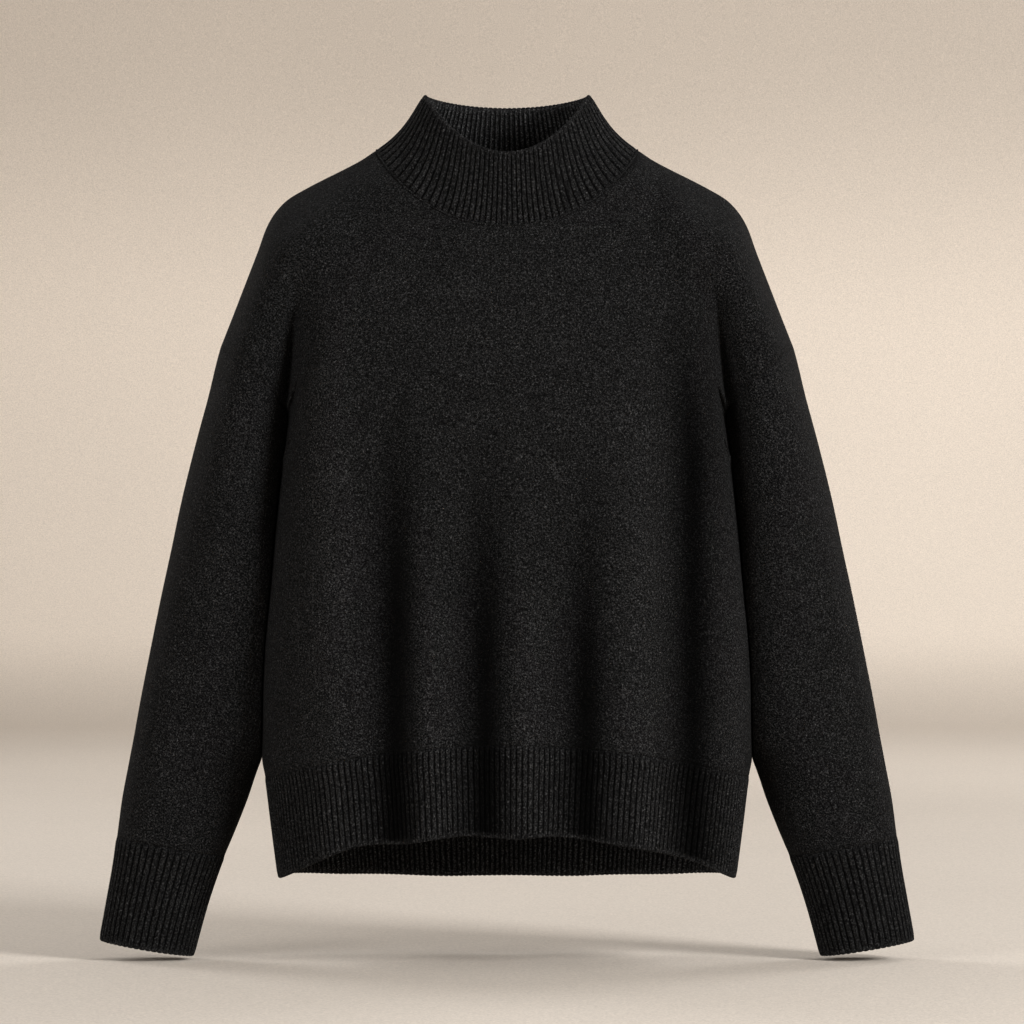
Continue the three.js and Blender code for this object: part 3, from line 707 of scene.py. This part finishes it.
def plain_piece(name, surface, wall, closed, sign, pinned=None, tone=1.0):
    """A plain-knit wall: the surface, and the same surface one wall further in along its
    normals. pinned keeps the inner side on its own half of the body."""
    inner = surface - wall * grid_normals(surface, closed, sign)
    if pinned:
        inner[..., 1] = pinned(inner[..., 1])
    section = there_and_back(surface)
    section[len(surface):] = inner[::-1]
    loop = np.concatenate([surface, surface[:, :1]], axis=1) if closed else surface
    across = lengths(loop, 1)
    if not closed:
        across = across - across[:, surface.shape[1] // 2][:, None]
    along = lengths(loop, 0)
    tones = there_and_back(np.broadcast_to(tone, surface.shape[:2]))
    return cloth_mesh(name, section, there_and_back(across), there_and_back(along), tones, closed)


def rib_height(count):
    """Height of the ribs from 0 in a groove to 1 on a crest: the root of the sine's arch,
    which gives broad crests and narrow grooves."""
    return np.sqrt(np.abs(np.sin(math.pi * count)))


def rib_piece(name, base, count, wall, relief, closed, sign, pinned=None, shade=1.0):
    """A ribbed band from its base surface, whose rows run from the seam to the free edge.
    The outer side stands out from the base by relief x (rib height - RIB_LEVEL), the ribs
    start within RIB_START of the seam and soften towards the edge, and the inner side has its
    crests behind the outer grooves. The edge is a rounded roll."""
    normals = grid_normals(base, closed, sign)
    gone = lengths(base, 0)
    left = gone[-1] - gone
    crest = rib_height(count)[None, :]
    strength = ease(gone / RIB_START) * mix(RIB_AT_EDGE, 1, ease(left / RIB_SOFTENS))
    rise = relief * strength * (crest - RIB_LEVEL)
    outer = base + normals * rise[..., None]
    depth = wall - relief * strength * (1 - crest - RIB_LEVEL) * RIB_BEHIND
    inner = base - normals * depth[..., None]
    if pinned:
        outer[..., 1] = pinned(outer[..., 1])
        inner[..., 1] = pinned(inner[..., 1])
    section = wrap_section(outer, inner, 3, EDGE_ARC)
    edge = len(section) - 2 * len(base)
    round_crest = crest ** 2
    # Painted shade in the grooves and painted highlight on the crests of the outer side, times the
    # folds' painted shade and highlight in shade
    groove = mix(1, mix(GROOVE_PAINTED_SHADE, CREST_PAINTED_HIGHLIGHT, round_crest), strength) * shade
    # Painted light on the inner side, with painted highlight on its crests and painted shade in its
    # grooves
    behind = mix(1, mix(CREST_PAINTED_HIGHLIGHT, GROOVE_PAINTED_SHADE, round_crest), strength) * INSIDE_PAINTED_LIGHT
    # Painted highlight on the rolled edge and on the outer side next to it
    roll = np.full((edge, groove.shape[1]), EDGE_PAINTED_HIGHLIGHT)
    lit = ease(1 - left / EDGE_LIT)
    tone = np.concatenate([mix(groove, EDGE_PAINTED_HIGHLIGHT, lit), roll, behind[::-1]])
    middle = np.repeat(gone[-1:], edge, axis=0)
    along = np.concatenate([gone, middle, gone[::-1]])
    if closed:
        along = np.concatenate([along, along[:, :1]], axis=1)
        count = np.append(count, 2 * count[-1] - count[-2])
    return cloth_mesh(name, section, count[None, :] * RIB_PITCH, along, tone, closed)


def welt_shares(side, count):
    """Shares of the half width that lie at equal steps round the body at the welt."""
    fine = np.sin(np.linspace(-math.pi / 2, math.pi / 2, 2001))
    ring = side.torso_point(fine, mix(WELT_SEAM["side"], WELT_EDGE["side"], 0.5))
    gone = lengths(ring[:, None], 0)[:, 0]
    return np.interp(np.linspace(0, gone[-1], count), gone, fine)


def front_half(y):
    return np.minimum(y, 0)


def back_half(y):
    return np.maximum(y, 0)


PINS = {"front": front_half, "back": back_half}


class Value:
    """A number socket. Arithmetic on it adds Math nodes."""

    def __init__(self, nodes, socket):
        self.nodes = nodes
        self.socket = socket

    def math(self, operation, *terms):
        node = self.nodes.add("Math", {"operation": operation}, dict(enumerate(terms)))
        return Value(self.nodes, node.outputs[0])

    def __add__(self, other):
        return self.math("ADD", self, other)

    def __radd__(self, other):
        return self.math("ADD", other, self)

    def __sub__(self, other):
        return self.math("SUBTRACT", self, other)

    def __rsub__(self, other):
        return self.math("SUBTRACT", other, self)

    def __mul__(self, other):
        return self.math("MULTIPLY", self, other)

    def __rmul__(self, other):
        return self.math("MULTIPLY", other, self)

    def __truediv__(self, other):
        return self.math("DIVIDE", self, other)

    def __rtruediv__(self, other):
        return self.math("DIVIDE", other, self)

    def __pow__(self, other):
        return self.math("POWER", self, other)

    def __abs__(self):
        return self.math("ABSOLUTE", self)

    def fract(self):
        return self.math("FRACT", self)


class Nodes:
    """The nodes of one material."""

    def __init__(self, name):
        self.material = bpy.data.materials.new(name)
        self.material.use_nodes = True
        self.tree = self.material.node_tree
        self.tree.nodes.clear()

    def add(self, kind, settings=None, sockets=None):
        """Adds a node by its type: the settings first, then a value or a link for each
        socket, named or numbered."""
        node = self.tree.nodes.new("ShaderNode" + kind)
        for key, value in (settings or {}).items():
            setattr(node, key, value)
        for key, value in (sockets or {}).items():
            value = value.socket if isinstance(value, Value) else value
            if isinstance(value, bpy.types.NodeSocket):
                self.tree.links.new(value, node.inputs[key])
            else:
                node.inputs[key].default_value = value
        return node

    def value(self, kind, settings=None, sockets=None, output=0):
        return Value(self, self.add(kind, settings, sockets).outputs[output])

    def noise(self, place, size, detail):
        """Noise from 0 to 1 whose grains are about size metres."""
        sockets = {"Vector": place, "Scale": 1 / size, "Detail": detail}
        return self.value("TexNoise", None, sockets)

    def finish(self, sockets):
        shader = self.add("BsdfPrincipled", None, sockets)
        self.add("OutputMaterial", None, {"Surface": shader.outputs[0]})
        return self.material


def knit_material(name, colour, yarn, stitch, course, relief):
    """Fuzzy wool. Each stitch is a V of two legs: with across the place over one stitch, a leg
    is at |across - 1/2|, and the loops along it are set back by its distance from the
    middle. Both are rounded, which gives the bump, and the gaps between them are painted darker as
    shade."""
    nodes = Nodes(name)
    cloth = nodes.add("UVMap", {"uv_map": "cloth"}).outputs["UV"]
    split = nodes.add("SeparateXYZ", None, {0: cloth})
    across = Value(nodes, split.outputs[0]) / stitch
    along = Value(nodes, split.outputs[1]) / course
    place = nodes.add("TexCoord").outputs["Object"]
    # The tone attribute is painted light and shade: of the folds, and of the ribs' grooves, crests,
    # rolled edges and insides
    tone = nodes.value("Attribute", {"attribute_name": "tone"}, None, "Fac")
    leg = abs(across.fract() - 0.5) * 2
    over = leg * 2 - 1
    loop = (along - leg * 0.6).fract() * 2 - 1
    yarn_height = (1 - over * over * 0.8) * (1 - loop * loop * 0.6)
    fuzz = nodes.noise(place, 0.0009, 1)
    tuft = nodes.noise(place, 0.0014, 1)
    cloud = nodes.noise(place, 0.03, 2)
    height = yarn_height * 0.4 + fuzz * 1.2 + tuft * 1.4
    bump = nodes.add("Bump", None, {"Height": height, "Strength": 1, "Distance": relief})
    speck = (tuft * 2) ** 3.6 * (fuzz * 2) ** 2.5
    # Painted shade: the colour is darker where the yarn lies low, in the gaps between the loops
    shade = tone * (0.2 + yarn_height * 0.25) * (speck + 0.15)
    shade = shade * (0.8 + cloud * 0.4)
    tinted = nodes.add("VectorMath", {"operation": "SCALE"}, {0: colour[:3], "Scale": shade})
    return nodes.finish({
        "Base Color": tinted.outputs["Vector"],
        "Roughness": 0.8 + fuzz * 0.2,
        "Specular IOR Level": yarn.gloss,
        "Sheen Weight": yarn.sheen,
        "Sheen Roughness": yarn.sheen_roughness,
        "Sheen Tint": (*yarn.sheen_colour, 1),
        "Normal": bump.outputs["Normal"],
    })


class SweaterCloth(bpy.types.PropertyGroup):
    """Sizes of the cloth"""
    wall: bpy.props.FloatProperty(
        name="Plain knit", description="Thickness of the plain knit", default=0.0025,
        unit="LENGTH")
    rib_wall: bpy.props.FloatProperty(
        name="Rib knit", description="Thickness of the welts and cuffs between their ribs",
        default=0.0026, unit="LENGTH")
    collar_wall: bpy.props.FloatProperty(
        name="Collar", description="Thickness of the collar between its ribs", default=0.0032,
        unit="LENGTH")
    rib_relief: bpy.props.FloatProperty(
        name="Rib relief", description="Height of a rib from groove to crest", default=0.0017,
        unit="LENGTH")
    welt_ribs: bpy.props.IntProperty(
        name="Welt ribs", description="Ribs on the front welt, and again on the back",
        default=120)
    cuff_ribs: bpy.props.IntProperty(
        name="Cuff ribs", description="Ribs round each cuff", default=48)
    collar_ribs: bpy.props.IntProperty(
        name="Collar ribs", description="Ribs round the collar", default=100)
    fold_strength: bpy.props.FloatProperty(
        name="Folds", description="Depth of the soft folds, as a factor", default=1,
        subtype="FACTOR")
    swell: bpy.props.FloatProperty(
        name="Swell", description="Height of the cloth's slow unevenness", default=0.0012,
        unit="LENGTH")


class SweaterYarn(bpy.types.PropertyGroup):
    """Colours and finish of the yarn"""
    plain_colour: bpy.props.FloatVectorProperty(
        name="Plain knit", description="Colour of the plain knit", subtype="COLOR",
        default=(0.0185, 0.0185, 0.0188), min=0, max=1)
    rib_colour: bpy.props.FloatVectorProperty(
        name="Rib knit", description="Colour of the ribs", subtype="COLOR",
        default=(0.0135, 0.0135, 0.0137), min=0, max=1)
    sheen_colour: bpy.props.FloatVectorProperty(
        name="Fuzz", description="Colour of the light that the fuzz catches",
        subtype="COLOR", default=(0.5, 0.49, 0.48), min=0, max=1)
    sheen: bpy.props.FloatProperty(
        name="Fuzz amount", description="How much light the fuzz catches", default=0.015,
        subtype="FACTOR")
    sheen_roughness: bpy.props.FloatProperty(
        name="Fuzz spread", description="How widely the fuzz spreads the light",
        default=0.5, subtype="FACTOR")
    gloss: bpy.props.FloatProperty(
        name="Gloss", description="Strength of the yarn's surface gloss", default=0.03,
        subtype="FACTOR")
    stitch_width: bpy.props.FloatProperty(
        name="Stitch width", description="Width of one plain stitch", default=0.0018,
        unit="LENGTH")
    stitch_height: bpy.props.FloatProperty(
        name="Stitch height", description="Height of one plain stitch", default=0.0014,
        unit="LENGTH")


class SweaterStage(bpy.types.PropertyGroup):
    """Floor, light and camera"""
    floor_gap: bpy.props.FloatProperty(
        name="Floor gap", description="Space between the cuffs and the floor", default=0.004,
        unit="LENGTH")
    floor_colour: bpy.props.FloatVectorProperty(
        name="Floor", description="Colour of the floor", subtype="COLOR",
        default=(0.74, 0.66, 0.575), min=0, max=1)
    key: bpy.props.FloatProperty(
        name="Key light", description="Power of the large light at the right", default=160,
        unit="POWER")
    left: bpy.props.FloatProperty(
        name="Left light", description="Power of the soft light at the left", default=62,
        unit="POWER")
    wall: bpy.props.FloatProperty(
        name="Wall light", description="Power of the light on the wall behind", default=16,
        unit="POWER")
    back: bpy.props.FloatProperty(
        name="Back lights", description="Power of each light behind", default=52,
        unit="POWER")
    room: bpy.props.FloatProperty(
        name="Room", description="Strength of the room's own soft light", default=0.3)


def place_piece(piece, material, node):
    """Gives a cloth piece its material and its body, and hides the solid it covers."""
    piece.data.materials.append(material)
    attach(piece, "root")
    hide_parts(node)


def plain_material(context):
    """The one material of the plain pieces, made when it is first asked for."""
    yarn = context.scene.sweater_yarn
    return bpy.data.materials.get("plain_wool") or knit_material(
        "plain_wool", yarn.plain_colour, yarn, yarn.stitch_width, yarn.stitch_height, 0.0008)


def rib_material(context):
    """The one material of the ribbed pieces: one stitch column to a rib."""
    yarn = context.scene.sweater_yarn
    return bpy.data.materials.get("rib_wool") or knit_material(
        "rib_wool", yarn.rib_colour, yarn, RIB_PITCH * MM, yarn.stitch_height, 0.0005)


class SWEATER_OT_panels(bpy.types.Operator):
    """Knits the front and the back"""
    bl_idname = "sweater.panels"
    bl_label = "Front and back"

    def execute(self, context):
        cloth = context.scene.sweater_cloth
        columns = np.linspace(-1, 1, PANEL_COLUMNS)[None, :]
        rows = np.linspace(0, 1, PANEL_ROWS)[:, None]
        for side in (FRONT, BACK):
            side.fold_strength = cloth.fold_strength
            side.swell = cloth.swell / MM
            surface = side.panel_point(columns, rows)
            # Painted shade and highlight of the folds, carried to the material by the tone attribute
            tone = side.fold_painted_shading(surface[..., 0], surface[..., 2])
            piece = plain_piece(f"{side.name}_knit", surface, cloth.wall / MM, False,
                                -side.out, PINS[side.name], tone)
            place_piece(piece, plain_material(context), side.name)
        return {"FINISHED"}


class SWEATER_OT_welts(bpy.types.Operator):
    """Knits the ribbed welts at the foot of the front and the back"""
    bl_idname = "sweater.welts"
    bl_label = "Welts"

    def execute(self, context):
        cloth = context.scene.sweater_cloth
        count = cloth.welt_ribs * RIB_POINTS + 1
        rows = np.linspace(0, 1, WELT_ROWS)[:, None]
        for side in (FRONT, BACK):
            share = welt_shares(side, count)[None, :]
            z = mix(side.welt_seam(share), side.welt_edge(share), rows)
            # The welts carry the folds' painted shade and highlight as well
            piece = rib_piece(f"{side.name}_welt", side.torso_point(share, z),
                              np.linspace(0, cloth.welt_ribs, count), cloth.rib_wall / MM,
                              cloth.rib_relief / MM, False, side.out, PINS[side.name],
                              side.fold_painted_shading(share * BODY.read("half", z), z))
            place_piece(piece, rib_material(context), f"hem_{side.name}")
        return {"FINISHED"}


class SWEATER_OT_sleeves(bpy.types.Operator):
    """Knits the two sleeves"""
    bl_idname = "sweater.sleeves"
    bl_label = "Sleeves"

    def execute(self, context):
        cloth = context.scene.sweater_cloth
        turn = np.linspace(0, 360, SLEEVE_COLUMNS, endpoint=False)[None, :]
        rows = np.linspace(0, 1, SLEEVE_ROWS)[:, None]
        for name, hand in (("left", 1), ("right", -1)):
            surface = sleeve_point(turn, rows) * (hand, 1, 1)
            piece = plain_piece(f"{name}_sleeve_knit", surface, cloth.wall / MM, True, hand)
            place_piece(piece, plain_material(context), f"sleeve_{name}")
        return {"FINISHED"}


class SWEATER_OT_cuffs(bpy.types.Operator):
    """Knits the two ribbed cuffs"""
    bl_idname = "sweater.cuffs"
    bl_label = "Cuffs"

    def execute(self, context):
        cloth = context.scene.sweater_cloth
        count = cloth.cuff_ribs * RIB_POINTS
        turn = np.linspace(0, 360, count, endpoint=False)[None, :]
        rows = np.linspace(0, 1, CUFF_ROWS)[:, None]
        crest = np.linspace(0, cloth.cuff_ribs, count, endpoint=False)
        for name, hand in (("left", 1), ("right", -1)):
            base = cuff_point(turn, rows) * (hand, 1, 1)
            piece = rib_piece(f"{name}_cuff_rib", base, crest, cloth.rib_wall / MM,
                              cloth.rib_relief / MM, True, hand)
            place_piece(piece, rib_material(context), f"cuff_{name}")
        return {"FINISHED"}


class SWEATER_OT_collar(bpy.types.Operator):
    """Knits the ribbed collar and the chain of stitches that links it to the neck"""
    bl_idname = "sweater.collar"
    bl_label = "Collar"

    def execute(self, context):
        cloth = context.scene.sweater_cloth
        count = cloth.collar_ribs * RIB_POINTS
        turn = np.linspace(0, 360, count, endpoint=False)[None, :]
        rise = np.linspace(0, 1, COLLAR_ROWS)[:, None]
        front = np.cos(np.radians(turn)) >= 0
        warp = [np.where(front, *RIB_DRAW[end]) for end in ("seam", "rim")]
        base = collar_point(turn, rise, warp)
        crest = np.linspace(0, cloth.collar_ribs, count, endpoint=False)
        piece = rib_piece("collar_rib", base, crest, cloth.collar_wall / MM,
                          cloth.rib_relief / MM, True, 1)
        chain = linking_chain("neck_linking", base)
        chain.data.materials.append(plain_material(context))
        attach(chain, "root")
        place_piece(piece, rib_material(context), "collar")
        return {"FINISHED"}


def linking_chain(name, base):
    """A chain of stitches on the collar's foot: a flattened tube round the first row of the
    base, whose size swells and narrows once for each stitch."""
    foot = base[0]
    up = unit(base[1] - base[0])
    out = grid_normals(base, True, 1)[0]
    along = np.linspace(0, CHAIN_STITCHES, len(foot), endpoint=False)
    size = mix(CHAIN_THIN, 1, np.abs(np.sin(math.pi * along)))[:, None]
    turns = np.linspace(0, 2 * math.pi, CHAIN_SIDES, endpoint=False)
    middle = foot + out * CHAIN_LIFT
    rings = [middle + size * (up * CHAIN_HALF * math.sin(t) + out * CHAIN_THICK * math.cos(t))
             for t in turns]
    across = lengths(np.concatenate([foot, foot[:1]])[:, None], 0)[:, 0]
    lines = np.linspace(0, 2 * CHAIN_HALF, CHAIN_SIDES)[:, None]
    return cloth_mesh(name, np.array(rings), across, np.repeat(lines, len(across), 1),
                      CHAIN_TONE, True)


class SWEATER_OT_stage(bpy.types.Operator):
    """Sets up the plain round floor with its rising wall, the lights and the camera"""
    bl_idname = "sweater.stage"
    bl_label = "Floor, light and camera"

    def execute(self, context):
        settings = context.scene.sweater_stage
        floor_z = CAD_BOX[0][2] - settings.floor_gap
        make_floor(floor_z, settings.floor_colour)
        make_room(context.scene, settings)
        for name, place, size, power in (
            ("key_light", (2.75, -2.45, 1.1), 1.2, settings.key),
            ("left_light", (-2.5, -2.9, 0.1), 1.6, settings.left),
            ("back_light_right", (2.6, 2.6, 1.6), 1.4, settings.back),
            ("back_light_left", (-2.6, 2.6, 1.6), 1.4, settings.back),
        ):
            add_light(name, place, LOOK_AT, size, power)
        wall = add_light("wall_light", WALL_LIGHT, WALL_SPOT, 1, settings.wall)
        wall.spread = WALL_SPREAD
        add_camera(context.scene)
        return {"FINISHED"}


def make_floor(floor_z, colour):
    """A profile turned round the vertical: flat out to FLOOR_FLAT, a quarter circle of radius
    FLOOR_COVE, then straight up."""
    turns = np.linspace(0, math.pi / 2, 24)
    out = np.concatenate([[0, 1, 2, 3, 4], FLOOR_FLAT + FLOOR_COVE * np.sin(turns),
                          [FLOOR_FLAT + FLOOR_COVE]])
    up = np.concatenate([[0] * 5, FLOOR_COVE * (1 - np.cos(turns)), [WALL_TOP]]) + floor_z
    angle = np.linspace(0, 2 * math.pi, 96, endpoint=False)
    ring = np.stack([out[1:, None] * np.cos(angle), out[1:, None] * np.sin(angle),
                     np.repeat(up[1:, None], 96, 1)], axis=-1)
    places = np.concatenate([[[0, 0, floor_z]], ring.reshape(-1, 3)])
    index = 1 + np.arange(ring.shape[0] * 96).reshape(-1, 96)
    index = np.concatenate([index, index[:, :1]], axis=1)
    faces = np.stack([index[:-1, :-1], index[1:, :-1], index[1:, 1:], index[:-1, 1:]],
                     axis=-1).reshape(-1, 4).tolist()
    faces += [[0, int(a), int(b)] for a, b in zip(index[0, :-1], index[0, 1:])]
    mesh = bpy.data.meshes.new("floor")
    mesh.from_pydata(places.tolist(), [], faces)
    mesh.polygons.foreach_set("use_smooth", np.ones(len(faces), bool))
    mesh.update()
    floor = bpy.data.objects.new("floor", mesh)
    bpy.context.scene.collection.objects.link(floor)
    nodes = Nodes("floor_plaster")
    place = nodes.add("TexCoord").outputs["Object"]
    grain = nodes.noise(place, 0.0022, 2)
    patch = nodes.noise(place, 0.9, 2)
    bump = nodes.add("Bump", None, {"Height": grain, "Strength": 0.15, "Distance": 0.002})
    height = Value(nodes, nodes.add("SeparateXYZ", None, {0: place}).outputs[2])
    # Painted light and shade by height: the colour is darker on the floor, lighter from the foot of
    # the cove up, and darker again up the wall
    up = nodes.value("MapRange", {"interpolation_type": "SMOOTHSTEP"},
                     {0: height, 1: floor_z, 2: floor_z + FLOOR_COVE / 8, 3: 0.86, 4: 1.15})
    down = nodes.value("MapRange", {"interpolation_type": "SMOOTHSTEP"},
                       {0: height, 1: floor_z + FLOOR_COVE / 2, 2: floor_z + FLOOR_COVE,
                        3: 1, 4: 0.75})
    tinted = nodes.add("VectorMath", {"operation": "SCALE"},
                       {0: tuple(colour), "Scale": up * down * (0.65 + grain * 0.6 + patch * 0.1)})
    floor.data.materials.append(nodes.finish({
        "Base Color": tinted.outputs["Vector"],
        "Roughness": 0.9,
        "Normal": bump.outputs["Normal"],
    }))


def make_room(scene, settings):
    """Even pale light from all round."""
    world = bpy.data.worlds.new("room")
    scene.world = world
    world.use_nodes = True
    light = world.node_tree.nodes["Background"]
    light.inputs["Color"].default_value = (1, 0.97, 0.93, 1)
    light.inputs["Strength"].default_value = settings.room


def add_light(name, place, target, size, power):
    """A square light aimed at a place."""
    data = bpy.data.lights.new(name, "AREA")
    data.size = size
    data.energy = power
    light = bpy.data.objects.new(name, data)
    bpy.context.scene.collection.objects.link(light)
    light.location = place
    aim = Vector(target) - light.location
    light.rotation_euler = aim.to_track_quat("-Z", "Y").to_euler()
    return data


def add_camera(scene):
    """A level camera straight in front, far enough off for the photo's flat perspective."""
    data = bpy.data.cameras.new("camera")
    data.sensor_width = 36
    data.lens = data.sensor_width * CAMERA_AWAY / VIEW_WIDTH
    camera = bpy.data.objects.new("camera", data)
    scene.collection.objects.link(camera)
    camera.location = (LOOK_AT[0], -CAMERA_AWAY, LOOK_AT[2])
    camera.rotation_euler = (math.pi / 2, 0, 0)
    scene.camera = camera
    scene.view_settings.view_transform = "Standard"


class SWEATER_PT_panel(bpy.types.Panel):
    """Settings and steps of the sweater"""
    bl_label = "Turtleneck sweater"
    bl_idname = "SWEATER_PT_panel"
    bl_space_type = "VIEW_3D"
    bl_region_type = "UI"
    bl_category = "Sweater"

    def draw(self, context):
        layout = self.layout
        for group in ("sweater_cloth", "sweater_yarn", "sweater_stage"):
            settings = getattr(context.scene, group)
            box = layout.box()
            for key in settings.__annotations__:
                box.prop(settings, key)
        for step in STEPS:
            layout.operator(step.bl_idname)


STEPS = [SWEATER_OT_panels, SWEATER_OT_welts, SWEATER_OT_sleeves, SWEATER_OT_cuffs,
         SWEATER_OT_collar, SWEATER_OT_stage]
GROUPS = {"sweater_cloth": SweaterCloth, "sweater_yarn": SweaterYarn,
          "sweater_stage": SweaterStage}


def register():
    for each in (*GROUPS.values(), *STEPS, SWEATER_PT_panel):
        bpy.utils.register_class(each)
    for name, group in GROUPS.items():
        setattr(bpy.types.Scene, name, bpy.props.PointerProperty(type=group))


def unregister():
    for name in GROUPS:
        delattr(bpy.types.Scene, name)
    for each in (SWEATER_PT_panel, *reversed(STEPS), *GROUPS.values()):
        bpy.utils.unregister_class(each)


def main():
    register()
    for step in STEPS:
        group, name = step.bl_idname.split(".")
        getattr(getattr(bpy.ops, group), name)()


if __name__ == "__main__":
    main()
